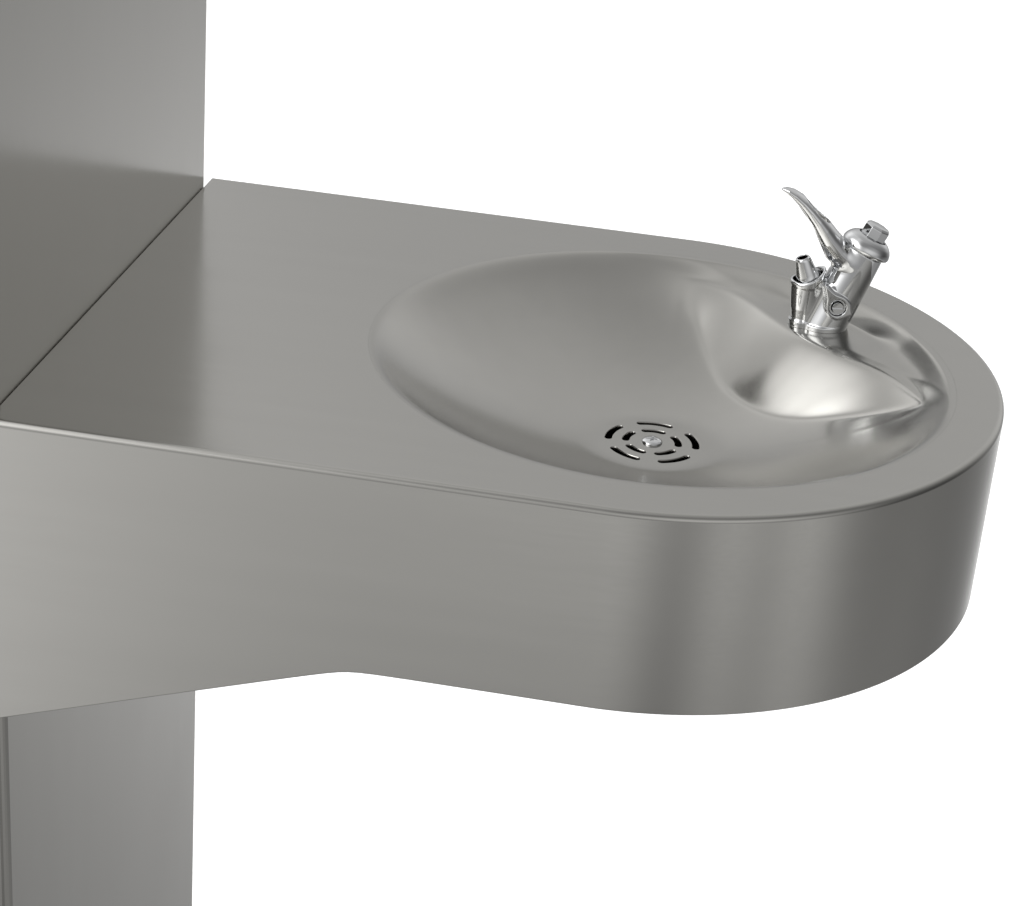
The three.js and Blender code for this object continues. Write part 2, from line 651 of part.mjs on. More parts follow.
// ---------------------------------------------------------------- waste
const WASTE_TOP = DECK_Z + DRAIN_TOP - 8.9;
const JOINT_X = 84;
const legZ = { bottom: 640, crest: 700 };
const RISER_TOP = 560;

function wasteArm() {
  const bent = tube([
    [BASIN_X, 0, WASTE_TOP + 8], [BASIN_X, 0, WASTE_Z],
    [JOINT_X + GAP, 0, wasteHeightAt(JOINT_X)],
  ], WASTE_R, WASTE_BORE, WASTE_BEND, 12);
  return cut(bent, cylinder(BASIN_X, 0, WASTE_TOP, WASTE_TOP + 20, WASTE_R * 2));
}

function wasteTrap() {
  const z = wasteHeightAt(JOINT_X);
  return tube([
    [JOINT_X - 0.3, 0, z], [TRAP_X, 0, z], [TRAP_X, 0, legZ.bottom],
    [TRAP_X - TRAP_STEP, 0, legZ.bottom], [TRAP_X - TRAP_STEP, 0, legZ.crest],
    [RISER_X, 0, legZ.crest], [RISER_X, 0, RISER_TOP + 0.3],
  ], WASTE_R, WASTE_BORE, 27, 12);
}

function wasteRiser() {
  return tube([[RISER_X, 0, 2], [RISER_X, 0, RISER_TOP - 0.3]], WASTE_R, WASTE_BORE, 10, 12);
}

function slipNut() {
  return cut(cylinder(0, 0, -12, 12, 23, 8, rad(22.5)), cylinder(0, 0, -13, 13, WASTE_R + GAP, 28));
}

addPart('waste_arm', wasteArm(), 'chrome');
addPart('waste_trap', wasteTrap(), 'chrome');
addPart('waste_riser', wasteRiser(), 'chrome');
addPart('slip_nut_upper', slipNut().rotate([0, 90, 0])
  .translate([JOINT_X, 0, wasteHeightAt(JOINT_X)]), 'chrome');
addPart('slip_nut_lower', slipNut().translate([RISER_X, 0, RISER_TOP]), 'chrome');

// ---------------------------------------------------------------- supply
const STOP_Z = 300;
const VALVE_R = 13;
const STEM_X = INLET_X - 24;
const SHANK_BOTTOM = shelfZ - 30;

function supplyInlet() {
  return tube([[INLET_X, INLET_Y, 2], [INLET_X, INLET_Y, STOP_Z - 22.3]], 7, 5.2, 10, 10);
}

function stopValve() {
  const body = turned([
    [0, -22], [VALVE_R, -22], [VALVE_R, -12], [10, -8], [10, 8], [VALVE_R, 12], [VALVE_R, 22],
    [0, 22]], 18);
  const branch = rod(-22, 0, 0, 0, 8, 16);
  const bore = cylinder(0, 0, -23, 23, 5, 14);
  const stemHole = rod(-23, 0, 0, 0, 3.3, 14);
  return cut(union(body, branch), bore, stemHole).translate([INLET_X, INLET_Y, STOP_Z]);
}

function stopHandle() {
  const stem = rod(-38, -8, 0, 0, 2.9, 14);
  const hub = rod(-33, -24, 0, 0, 7, 16);
  const lever = box(-32, -27, -6, 6, -4, 44);
  const tip = rod(-32, -27, 0, 44, 6, 16);
  return union(stem, hub, lever, tip).translate([INLET_X, INLET_Y, STOP_Z]);
}

function supplyTube() {
  return tube([
    [INLET_X, INLET_Y, STOP_Z + 22.3], [INLET_X, INLET_Y, SUPPLY_Z],
    [bubblerX, bubblerY, SUPPLY_Z], [bubblerX, bubblerY, SHANK_BOTTOM - 0.6],
  ], SUPPLY_R, SUPPLY_BORE, 19, 8);
}

function supplyNut() {
  const hex = cylinder(0, 0, -10, 6, 12.5, 6);
  const bores = union(cylinder(0, 0, -0.9, 7, 8.3, 20), cylinder(0, 0, -11, 0, 5.1, 16));
  return cut(hex, bores).translate([bubblerX, bubblerY, SHANK_BOTTOM]);
}

addPart('supply_inlet', supplyInlet(), 'copper');
addPart('stop_valve', stopValve(), 'brass');
addPart('stop_handle', stopHandle(), 'redPlastic');
addPart('supply_tube', supplyTube(), 'copper');
addPart('supply_nut', supplyNut(), 'brass');

// ---------------------------------------------------------------- bubbler
// Drawn about its own origin on the shelf: -X is the spout side, the barrel leans towards +X.
const place = (body) => body.rotate([0, 0, BUBBLER_TURN]).translate([bubblerX, bubblerY, shelfZ]);
// Barrel pieces are drawn upright with z = 0 at the barrel's open end, then leaned.
const BARREL_TOP = { x: 17, z: 43 };
const onBarrel = (body) => body.rotate([0, BARREL_LEAN, 0])
  .translate([BARREL_TOP.x, 0, BARREL_TOP.z]);
const BASE_LOW = 1.6;
const CUP_X = -11.5;
const CUP_TOP = 25.5;
const SHANK_R = 8;
const BARREL_FOOT = { x: 1, z: 2, r: 13 };
const BARREL_R = 11.2;
const BARREL_BORE = 7;
const CARTRIDGE_FLOOR = -22;
const NOZZLE_LEAN = -20;
const REGULATOR = { x: 3.5, z: 15, face: -15 };

const HOOD_SIDE = [
  [-31, 75], [-20, 73], [-10.7, 66.5], [-3.5, 59], [2, 51.6], [3.6, 48], [9, 43], [9, 34.5],
  [4, 36.5], [-10, 44.5], [-10.6, 52], [-16.8, 59.4], [-26, 68.6],
];

function hoodPlan() {
  const shape = new THREE.Shape();
  shape.moveTo(14, -7);
  shape.lineTo(-8, -9.5);
  shape.bezierCurveTo(-26, -9.5, -33, -5, -33, 0);
  shape.bezierCurveTo(-33, 5, -26, 9.5, -8, 9.5);
  shape.lineTo(14, 7);
  return shape;
}

function alongMinusY(body, x, y, z) {
  return body.rotate([90, 0, 0]).translate([x, y, z]);
}

// Skin between a level circle at the foot and the leaning circle at the barrel's open end.
function barrelBlock() {
  const around = 28;
  const positions = [];
  const index = [];
  const lean = rad(BARREL_LEAN);
  for (let k = 0; k < around; k++) {
    const [c, s] = [Math.cos(2 * Math.PI * k / around), Math.sin(2 * Math.PI * k / around)];
    const { x, z, r } = BARREL_FOOT;
    positions.push(x + r * c, r * s, z - 1);
    positions.push(BARREL_TOP.x + BARREL_R * c * Math.cos(lean), BARREL_R * s,
      BARREL_TOP.z - BARREL_R * c * Math.sin(lean));
    const next = (k + 1) % around;
    index.push(2 * k, 2 * next, 2 * next + 1, 2 * k, 2 * next + 1, 2 * k + 1);
    if (k > 1) index.push(0, 2 * k, 2 * k - 2, 1, 2 * k - 1, 2 * k + 1);
  }
  const geometry = new THREE.BufferGeometry();
  geometry.setAttribute('position', new THREE.Float32BufferAttribute(positions, 3));
  geometry.setIndex(index);
  return solid(geometry);
}

function bubblerBody() {
  const foot = union(
    turned([[0, BASE_LOW], [13.4, BASE_LOW], [13.4, 4], [11.5, 5.5], [0, 5.5]], 28),
    turned([[0, BASE_LOW], [8, BASE_LOW], [8, 4], [6.6, 6], [0, 6]], 20).translate([-10, 0, 0]));
  const cup = turned([
    [0, 2], [6.3, 2], [6.4, 6], [7.2, 9], [8.7, 22], [9.2, 23.5], [9, 25], [8.2, CUP_TOP],
    [0, CUP_TOP]], 24).translate([CUP_X, 0, 0]);
  const barrel = barrelBlock();
  const web = profileAcrossY([[CUP_X, BASE_LOW], [8, BASE_LOW], [10, 24], [CUP_X, 24]], -6.5, 6.5);
  const hood = profileAcrossY(HOOD_SIDE, -12, 12).intersect(plate(hoodPlan(), 30, 80, 8));
  const boss = alongMinusY(cylinder(0, 0, 4, -REGULATOR.face, 6.4, 20), REGULATOR.x, 0,
    REGULATOR.z);
  const shank = cylinder(0, 0, -30, 3, SHANK_R, 20);
  const under = box(-40, 40, -40, 40, -20, BASE_LOW);
  const above = cut(union(foot, cup, barrel, web, hood, boss), under);
  return cut(union(above, shank),
    onBarrel(cylinder(0, 0, CARTRIDGE_FLOOR - GAP, 6, BARREL_BORE, 24)),
    cylinder(0, 0, -31, 12, 4, 16),
    onBarrel(cylinder(0, 0, CARTRIDGE_FLOOR - 14, CARTRIDGE_FLOOR, 3, 12)),
    alongMinusY(cylinder(0, 0, 8.5, 20, 3.3, 16), REGULATOR.x, 0, REGULATOR.z),
    cylinder(CUP_X, 0, CUP_TOP - 6, CUP_TOP + 1, 6.6, 20));
}

function bubblerNozzle() {
  const seat = cylinder(CUP_X, 0, CUP_TOP - 5.7, CUP_TOP + 1.5, 6.2, 20);
  const cone = turned([[0, 0], [7.6, 0], [7.2, 1.2], [4.1, 11.6], [3.5, 12.4], [0, 12.4]], 20)
    .rotate([0, NOZZLE_LEAN, 0]).translate([CUP_X, 0, CUP_TOP + 0.6]);
  const body = cut(union(seat, cone), box(-40, CUP_X + 40, -20, 20, CUP_TOP - 10, CUP_TOP + GAP)
    .subtract(cylinder(CUP_X, 0, CUP_TOP - 12, CUP_TOP + 1, 6.3, 20)));
  const bore = cylinder(0, 0, 3, 14, 2.7, 16).rotate([0, NOZZLE_LEAN, 0])
    .translate([CUP_X, 0, CUP_TOP + 0.6]);
  return cut(body, bore);
}

const BONNET_HOLE = 7.8;         // the button slides through it

function bonnet() {
  return onBarrel(turned([
    [BONNET_HOLE, GAP], [13.6, GAP], [13.8, 2.4], [13, 4.4], [11.6, 6.4], [9.8, 7.9],
    [BONNET_HOLE, 8.7], [BONNET_HOLE, GAP]], 24));
}

const BUTTON_R = 7.3;
const BUTTON_LOW = 5;
const BUTTON_TOP = 15.7;
const STEM_TOP = 1.4;

function pushButton() {
  const head = turned([
    [0, BUTTON_LOW], [BUTTON_R, BUTTON_LOW], [BUTTON_R, BUTTON_TOP - 1.5],
    [BUTTON_R - 1.7, BUTTON_TOP], [0, BUTTON_TOP]], 8);
  const neck = cylinder(0, 0, STEM_TOP + GAP, BUTTON_LOW + 0.5, 4.8, 20);
  return onBarrel(union(head, neck));
}

function valveStem() {
  return onBarrel(turned([
    [0, -18.6], [2.2, -18.6], [2.2, -6.2], [5.1, -6.2], [5.1, -4.2], [3.2, -4.2],
    [3.2, STEM_TOP], [0, STEM_TOP]], 18));
}

function valveCartridge() {
  return onBarrel(turned([
    [2.7, CARTRIDGE_FLOOR], [6.7, CARTRIDGE_FLOOR], [6.7, 0], [5.6, 0],
    [5.6, CARTRIDGE_FLOOR + 2.5], [2.7, CARTRIDGE_FLOOR + 2.5],
    [2.7, CARTRIDGE_FLOOR]], 24));
}

const SPRING_R = 4.1;
const SPRING_WIRE_R = 0.55;
const SPRING_TURNS = 5;

class Helix extends THREE.Curve {
  constructor(radius, z0, z1, turns) {
    super();
    Object.assign(this, { radius, z0, z1, turns });
  }

  getPoint(t, target = new THREE.Vector3()) {
    const angle = 2 * Math.PI * this.turns * t;
    return target.set(this.radius * Math.cos(angle), this.radius * Math.sin(angle),
      this.z0 + (this.z1 - this.z0) * t);
  }
}

function buttonSpring() {
  const geometry = new THREE.ExtrudeGeometry(circle(SPRING_WIRE_R), {
    steps: 54, curveSegments: 3, extrudePath: new Helix(SPRING_R, -18.6, -7.1, SPRING_TURNS),
  });
  return onBarrel(solid(geometry));
}

function regulatorScrew() {
  const body = alongMinusY(cylinder(0, 0, 8.9, 14.2, 3, 16), REGULATOR.x, 0, REGULATOR.z);
  const slot = box(REGULATOR.x - 4, REGULATOR.x + 4, REGULATOR.face, -13.2, REGULATOR.z - 0.5,
    REGULATOR.z + 0.5);
  return cut(body, slot);
}

addPart('bubbler_body', place(bubblerBody()), 'chrome');
addPart('bubbler_nozzle', place(bubblerNozzle()), 'chrome');
addPart('bubbler_gasket', place(cut(cylinder(0, 0, GAP, 1.3, 12.5, 28),
  cylinder(0, 0, 0, 2, SHANK_R + GAP, 20))), 'blackRubber');
addPart('bubbler_washer', place(ring(SHANK_R + GAP, 13, -BOWL_SHEET - 2.3, -BOWL_SHEET - 0.5, 24)),
  'blackRubber');
addPart('bubbler_locknut', place(cut(cylinder(0, 0, -BOWL_SHEET - 9, -BOWL_SHEET - 2.6, 13, 6),
  cylinder(0, 0, -20, 0, SHANK_R + GAP, 20))), 'brass');
addPart('bonnet', place(bonnet()), 'chrome');
addPart('push_button', place(pushButton()), 'chrome');
addPart('valve_stem', place(valveStem()), 'brass');
addPart('button_spring', place(buttonSpring()), 'springSteel');
addPart('valve_cartridge', place(valveCartridge()), 'whitePlastic');
addPart('regulator_screw', place(regulatorScrew()), 'chrome');

export default group;
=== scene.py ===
"""Pedestal drinking fountain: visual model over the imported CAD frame. Metres, +Z up."""
import json
import math
import bmesh
import bpy
import numpy as np
from mathutils import Vector, Matrix
from mathutils.geometry import delaunay_2d_cdt


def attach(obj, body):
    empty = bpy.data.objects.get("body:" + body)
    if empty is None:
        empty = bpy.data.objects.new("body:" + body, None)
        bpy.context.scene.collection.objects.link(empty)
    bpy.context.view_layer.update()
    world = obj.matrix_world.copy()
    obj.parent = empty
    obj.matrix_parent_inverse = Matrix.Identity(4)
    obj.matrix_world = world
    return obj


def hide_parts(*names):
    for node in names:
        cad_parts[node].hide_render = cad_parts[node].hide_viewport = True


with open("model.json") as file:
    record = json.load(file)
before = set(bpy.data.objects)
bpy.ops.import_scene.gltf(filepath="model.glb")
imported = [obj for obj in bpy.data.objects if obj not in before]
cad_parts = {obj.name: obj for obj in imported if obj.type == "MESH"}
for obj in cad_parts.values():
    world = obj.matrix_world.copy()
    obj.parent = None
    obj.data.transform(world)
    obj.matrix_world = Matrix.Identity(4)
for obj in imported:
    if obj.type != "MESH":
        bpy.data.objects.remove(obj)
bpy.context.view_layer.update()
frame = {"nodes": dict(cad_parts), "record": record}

MM = 0.001
# ---------------------------------------------------------------- dimensions, in millimetres
DECK_Z = 850.9
ROOT_X = 154.8
ARM_HALF = 177.8
ARM_STRAIGHT = 279.4
SKIRT_ROOT = 158.75
SKIRT_TIP = 101.6
KNEE = 169.0
SHEET = 2.5
EDGE_R = 3.2
CORNER_R = 1.5
ROOT_EDGE = 0.6
ROOT_REACH = 2.0                 # the deck's lap over the gasket's edge
BASIN_U = 285.5
BASIN_X = ROOT_X + BASIN_U
BASIN_R = 148.0
BOWL_SHEET = 2.0
SHELF_DROP = 8.0
LIP_ROUND = 1.6
FOOT_ROUND = 1.2
WALL_BULGE = 1.1
SHELF_ROUND = 5.0
SEAT_ROUND = 0.8
BUBBLER_R = 121.0
BUBBLER_ANGLE = math.radians(50)
BUBBLER_TURN = math.radians(15)
BARREL_LEAN = math.radians(24)
BARREL_TOP = np.array([17.0, 0.0, 43.0])
CUP_X = -11.5
CUP_TOP = 25.5
NOZZLE_LEAN = math.radians(-20)
bubbler_x = BASIN_X + BUBBLER_R * math.cos(BUBBLER_ANGLE)
bubbler_y = BUBBLER_R * math.sin(BUBBLER_ANGLE)
shelf_z = DECK_Z - SHELF_DROP


# ---------------------------------------------------------------- mesh helpers
def new_object(name, verts, faces, normals=None):
    """Vertices in millimetres, faces as index lists, normals one per vertex if given."""
    mesh = bpy.data.meshes.new(name)
    mesh.from_pydata((np.asarray(verts, float) * MM).tolist(), [], [list(f) for f in faces])
    mesh.validate()
    mesh.polygons.foreach_set("use_smooth", [True] * len(mesh.polygons))
    if normals is not None:
        mesh.normals_split_custom_set_from_vertices(np.asarray(normals, float).tolist())
    mesh.update()
    obj = bpy.data.objects.new(name, mesh)
    bpy.context.scene.collection.objects.link(obj)
    return obj


def dress(obj, body, material, slot_name, *nodes):
    """Puts a finished piece on its body, with its finish, in place of CAD nodes."""
    obj.data.materials.clear()
    obj.data.materials.append(material)
    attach(obj, body)
    if nodes:
        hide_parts(*nodes)
    return obj


def sharpen(obj, degrees=32):
    obj.data.polygons.foreach_set("use_smooth", [True] * len(obj.data.polygons))
    obj.data.set_sharp_from_angle(angle=math.radians(degrees))


def bevel(obj, width_mm, segments=3, degrees=32):
    mod = obj.modifiers.new("edge", "BEVEL")
    mod.width = width_mm * MM
    mod.segments = segments
    mod.limit_method = "ANGLE"
    mod.angle_limit = math.radians(degrees)
    mod.harden_normals = False


def grid_faces(rows, columns, closed=True, offset=0):
    faces = []
    last = columns if closed else columns - 1
    for i in range(rows - 1):
        for k in range(last):
            n = (k + 1) % columns
            faces.append((offset + i * columns + k, offset + i * columns + n,
                          offset + (i + 1) * columns + n, offset + (i + 1) * columns + k))
    return faces


def rounded(profile, radius, steps=4):
    """A [r, z] profile with each inner corner rounded off by up to radius."""
    points = [np.array(p, float) for p in profile]
    out = [points[0]]
    for a, b, c in zip(points, points[1:], points[2:]):
        u, v = a - b, c - b
        lu, lv = np.linalg.norm(u), np.linalg.norm(v)
        reach = min(radius, 0.45 * lu, 0.45 * lv)
        p, q = b + u / lu * reach, b + v / lv * reach
        for t in np.linspace(0, 1, steps + 1):
            out.append((1 - t) ** 2 * p + 2 * t * (1 - t) * b + t ** 2 * q)
    out.append(points[-1])
    return out


def lathe(name, profile, segments, radius):
    """Closed turned piece. The profile starts and ends on the axis, or closes on itself."""
    closed = np.allclose(profile[0], profile[-1])
    points = rounded(profile, radius)
    if closed:
        points = points[:-1]
    verts, faces, index = [], [], []
    for r, z in points:
        row = []
        if r < 1e-6:
            verts.append((0, 0, z))
            row = [len(verts) - 1] * segments
        else:
            for k in range(segments):
                a = 2 * math.pi * k / segments
                verts.append((r * math.cos(a), r * math.sin(a), z))
                row.append(len(verts) - 1)
        index.append(row)
    if closed:
        index.append(index[0])
    for low, high in zip(index, index[1:]):
        for k in range(segments):
            n = (k + 1) % segments
            ring = [low[k], low[n], high[n], high[k]]
            face = [v for i, v in enumerate(ring) if v not in ring[:i]]
            if len(face) > 2:
                faces.append(face)
    obj = new_object(name, verts, faces)
    sharpen(obj, 38)
    return obj


def at(x, y, z, lean=0.0, turn=0.0):
    """Placement in metres of a piece drawn in millimetres and leaned about its own Y."""
    return (Matrix.Translation((x * MM, y * MM, z * MM)) @ Matrix.Rotation(turn, 4, "Z")
            @ Matrix.Rotation(lean, 4, "Y"))


def on_shelf(local=Matrix.Identity(4)):
    """Placement of a bubbler piece drawn about the bubbler's own origin."""
    return at(bubbler_x, bubbler_y, shelf_z, 0, BUBBLER_TURN) @ local


def on_barrel():
    return on_shelf(at(*BARREL_TOP, BARREL_LEAN))


# ---------------------------------------------------------------- finishes
class Nodes:
    """A small builder for one material's node tree."""

    def __init__(self, name):
        self.material = bpy.data.materials.new(name)
        self.material.use_nodes = True
        self.tree = self.material.node_tree
        self.shader = self.tree.nodes["Principled BSDF"]
        self.coords = self.tree.nodes.new("ShaderNodeTexCoord")

    def link(self, a, b):
        self.tree.links.new(a, b)

    def noise(self, scale, stretch=(1, 1, 1), detail=4.0, rough=0.5):
        mapping = self.tree.nodes.new("ShaderNodeMapping")
        mapping.inputs["Scale"].default_value = stretch
        self.link(self.coords.outputs["Object"], mapping.inputs["Vector"])
        noise = self.tree.nodes.new("ShaderNodeTexNoise")
        noise.inputs["Scale"].default_value = scale
        noise.inputs["Detail"].default_value = detail
        noise.inputs["Roughness"].default_value = rough
        self.link(mapping.outputs["Vector"], noise.inputs["Vector"])
        return noise.outputs["Fac"]

    def remap(self, value, low, high, from_low=0.3, from_high=0.7):
        node = self.tree.nodes.new("ShaderNodeMapRange")
        node.inputs["From Min"].default_value = from_low
        node.inputs["From Max"].default_value = from_high
        node.inputs["To Min"].default_value = low
        node.inputs["To Max"].default_value = high
        self.link(value, node.inputs["Value"])
        return node.outputs["Result"]

    def math(self, operation, a, b):
        node = self.tree.nodes.new("ShaderNodeMath")
        node.operation = operation
        for socket, value in zip(node.inputs, (a, b)):
            if isinstance(value, (int, float)):
                socket.default_value = value
            else:
                self.link(value, socket)
        return node.outputs["Value"]

    def mix(self, factor, a, b):
        node = self.tree.nodes.new("ShaderNodeMix")
        node.data_type = "RGBA"
        for socket, value in ((node.inputs["Factor"], factor), (node.inputs["A"], a),
                              (node.inputs["B"], b)):
            if isinstance(value, (int, float)):
                socket.default_value = value
            elif isinstance(value, tuple):
                socket.default_value = (*value, 1)
            else:
                self.link(value, socket)
        return node.outputs["Result"]

    def bump(self, height, strength, distance_mm):
        node = self.tree.nodes.new("ShaderNodeBump")
        node.inputs["Strength"].default_value = strength
        node.inputs["Distance"].default_value = distance_mm * MM
        self.link(height, node.inputs["Height"])
        self.link(node.outputs["Normal"], self.shader.inputs["Normal"])


def satin_steel(name, color, grain, rough=(0.15, 0.21)):
    """Fine satin sheet: grain is the stretch of the polishing lines along X, Y and Z."""
    n = Nodes(name)
    cloud = n.noise(7, detail=3.0)
    lines = n.noise(700, grain, detail=4.0, rough=0.6)
    streaks = n.noise(60, grain, detail=5.0, rough=0.6)
    base = tuple(color)
    dark = tuple(c * 0.975 for c in color)
    light = tuple(min(1, c * 1.03) for c in color)
    tone = n.mix(n.remap(cloud, 0, 1), dark, base)
    n.link(n.mix(n.remap(streaks, 0, 0.6), tone, light), n.shader.inputs["Base Color"])
    n.shader.inputs["Metallic"].default_value = 1.0
    rough_grain = n.remap(lines, -0.02, 0.025)
    rough_cloud = n.remap(cloud, *rough)
    n.link(n.math("ADD", rough_cloud, rough_grain), n.shader.inputs["Roughness"])
    n.bump(lines, 0.03, 0.03)
    return n.material


def polished(name, color, rough=0.06, metallic=1.0):
    """Plated or turned metal with faint wipe marks and a soft unevenness."""
    n = Nodes(name)
    marks = n.noise(90, (1, 1, 0.4), detail=6.0, rough=0.6)
    cloud = n.noise(25, detail=2.0)
    dark = tuple(c * 0.94 for c in color)
    n.link(n.mix(n.remap(cloud, 0, 1), dark, tuple(color)), n.shader.inputs["Base Color"])
    n.shader.inputs["Metallic"].default_value = metallic
    n.link(n.remap(marks, rough * 0.7, rough * 1.9, 0.35, 0.75), n.shader.inputs["Roughness"])
    n.bump(cloud, 0.04, 0.05)
    return n.material


def dull(name, color, rough, metallic=0.0, scale=160, depth=0.08):
    """Rubber, plastic, zinc or blasted plate: grain in colour, roughness and height."""
    n = Nodes(name)
    grain = n.noise(scale * 6, detail=5.0)
    cloud = n.noise(scale / 8, detail=3.0)
    dark = tuple(c * 0.85 for c in color)
    n.link(n.mix(n.remap(cloud, 0, 1), dark, tuple(color)), n.shader.inputs["Base Color"])
    n.shader.inputs["Metallic"].default_value = metallic
    n.link(n.remap(grain, rough - 0.07, rough + 0.07), n.shader.inputs["Roughness"])
    n.bump(grain, 0.2, depth)
    return n.material


STEEL = (0.40, 0.393, 0.372)
satin_deck = satin_steel("satin_deck", STEEL, (0.05, 1, 1))
satin_wall = satin_steel("satin_wall", STEEL, (1, 1, 0.05))
satin_bowl = satin_steel("satin_bowl", STEEL, (1, 1, 1), (0.15, 0.21))
sheet_steel = dull("sheet_steel", (0.42, 0.42, 0.41), 0.42, 1.0)
plate_steel = dull("plate_steel", (0.34, 0.34, 0.33), 0.5, 1.0)
zinc_steel = dull("zinc_steel", (0.58, 0.58, 0.56), 0.4, 1.0)
chrome = polished("chrome", (0.62, 0.625, 0.63), 0.05)
brass = polished("brass", (0.66, 0.5, 0.26), 0.22)
# Drain body brass made near black: painted shade for the dark inside of the drain seen through
# the strainer slots.
painted_shade_brass = dull("painted_shade_brass", (0.045, 0.04, 0.032), 0.6, 1.0)
copper = polished("copper", (0.7, 0.4, 0.26), 0.25)
spring_steel = polished("spring_steel", (0.5, 0.5, 0.49), 0.25)
black_rubber = dull("black_rubber", (0.018, 0.018, 0.018), 0.72)
white_plastic = dull("white_plastic", (0.78, 0.77, 0.73), 0.45)
red_plastic = dull("red_plastic", (0.45, 0.035, 0.025), 0.42)
by_slot = {
    "satin_steel": satin_wall, "sheet_steel": sheet_steel, "plate_steel": plate_steel,
    "zinc_steel": zinc_steel, "chrome": chrome, "brass": brass, "copper": copper,
    "spring_steel": spring_steel, "black_rubber": black_rubber,
    "white_plastic": white_plastic, "red_plastic": red_plastic,
}


# ---------------------------------------------------------------- arm
def skirt_low(u):
    """Height of the skirt's lower edge below the deck at a distance from the root."""
    slope = (SKIRT_ROOT - SKIRT_TIP) / KNEE
    soft = 8.0
    x = u - KNEE
    return -SKIRT_TIP + slope * (x - math.sqrt(x * x + soft * soft)) / 2


def arm_outline(inset):
    """Plan outline with rounded root corners as (point, outward normal) pairs, anticlockwise."""
    half = ARM_HALF - inset
    corner = max(CORNER_R - inset, 0.4)
    root = (inset if inset >= SHEET else inset * ROOT_EDGE / EDGE_R) - ROOT_REACH
    out = []

    def arc(cx, cy, r, a0, a1, steps):
        for a in np.linspace(a0, a1, steps):
            out.append(((cx + r * math.cos(a), cy + r * math.sin(a)), (math.cos(a), math.sin(a))))

    def line(x0, x1, y, ny, steps):
        for x in np.linspace(x0, x1, steps)[1:-1]:
            out.append(((x, y), (0, ny)))

    arc(root + corner, -half + corner, corner, -math.pi, -math.pi / 2, 7)
    line(root + corner, ARM_STRAIGHT, -half, -1, 60)
    arc(ARM_STRAIGHT, 0, half, -math.pi / 2, math.pi / 2, 121)
    line(ARM_STRAIGHT, root + corner, half, 1, 60)
    arc(root + corner, half - corner, corner, math.pi / 2, math.pi, 7)
    return out


def ring_of(z, radius, count=256):
    angles = [2 * math.pi * k / count for k in range(count)]
    return [(BASIN_U + radius * math.cos(a), radius * math.sin(a), z) for a in angles]


def flat_with_holes(outer, holes):
    """Triangles of a flat region, as (2D points, faces), each boundary a list of (x, y)."""
    points, edges, loops = [], [], [outer, *holes]
    for loop in loops:
        start = len(points)
        points.extend(Vector(p) for p in loop)
        edges.extend((start + i, start + (i + 1) % len(loop)) for i in range(len(loop)))
    found = delaunay_2d_cdt(points, edges, [], 1, 1e-5)
    verts, faces = found[0], found[2]
    if holes:
        kept = []
        for face in faces:
            c = sum((verts[i] for i in face), Vector((0, 0))) / len(face)
            if not any(inside((c.x, c.y), hole) for hole in holes):
                kept.append(face)
        faces = kept
    return [(v.x, v.y) for v in verts], [list(f) for f in faces]


def inside(point, loop):
    x, y = point
    hit = False
    for (x0, y0), (x1, y1) in zip(loop, loop[1:] + loop[:1]):
        if (y0 > y) != (y1 > y) and x < x0 + (y - y0) / (y1 - y0) * (x1 - x0):
            hit = not hit
    return hit


def build_arm():
    rows = []
    for i in range(7):
        a = math.pi / 2 * i / 6
        inset = EDGE_R * (1 - math.sin(a))
        drop = EDGE_R * (1 - math.cos(a))
        rows.append([((x, y, -drop), (nx * math.sin(a), ny * math.sin(a), math.cos(a)))
                     for (x, y), (nx, ny) in arm_outline(inset)])
    outline = arm_outline(0)
    for t in np.linspace(0, 1, 14)[1:]:
        row = []
        for (x, y), (nx, ny) in outline:
            low = skirt_low(x) + 0.8
            row.append(((x, y, -EDGE_R + (low + EDGE_R) * t), (nx, ny, 0)))
        rows.append(row)
    for a in (math.pi / 4, math.pi / 2):
        row = []
        for ((x, y), (nx, ny)), ((xi, yi), _) in zip(outline, arm_outline(0.8)):
            low = skirt_low(x)
            k = 1 - math.cos(a)
            row.append(((x + (xi - x) * k, y + (yi - y) * k, low + 0.8 - 0.8 * math.sin(a)),
                        (nx * math.cos(a), ny * math.cos(a), -math.sin(a))))
        rows.append(row)
    inner = arm_outline(SHEET)
    rows.append([((x, y, skirt_low(x)), (0, 0, -1)) for (x, y), _ in inner])
    rows.append([((x, y, skirt_low(x)), (-nx, -ny, 0)) for (x, y), (nx, ny) in inner])
    rows.append([((x, y, -SHEET), (-nx, -ny, 0)) for (x, y), (nx, ny) in inner])
    count = len(outline)
    verts = [p for row in rows for p, _ in row]
    normals = [n for row in rows for _, n in row]
    faces = [f[::-1] for f in grid_faces(len(rows), count)]
    rim = [(x, y) for x, y, _ in ring_of(0, BASIN_R + 0.05)]
    for z, edge, up in ((0.0, arm_outline(EDGE_R), 1), (-SHEET, inner, -1)):
        points, flat = flat_with_holes([p for p, _ in edge], [rim])
        start = len(verts)
        verts.extend((x, y, z) for x, y in points)
        normals.extend((0, 0, up) for _ in points)
        for f in flat:
            faces.append([start + i for i in (f if up > 0 else f[::-1])])
    start = len(verts)
    for z in (0.0, -SHEET):
        verts.extend((x, y, z) for x, y in rim)
        normals.extend(((BASIN_U - x) / BASIN_R, -y / BASIN_R, 0) for x, y in rim)
    faces += grid_faces(2, len(rim), offset=start)
    obj = new_object("arm", verts, faces, normals)
    obj.data.transform(Matrix.Translation((ROOT_X * MM, 0, DECK_Z * MM)))
    return dress(obj, "frame", satin_deck, "satin_steel", "arm_shell")


# ---------------------------------------------------------------- basin
BOWL_SLOPES = np.array([
    (0, 0), (28, 0), (40, 0.19), (70, 0.32), (100, 0.46), (125, 0.62), (138, 0.75),
    (143, 0.68), (148, 0)])
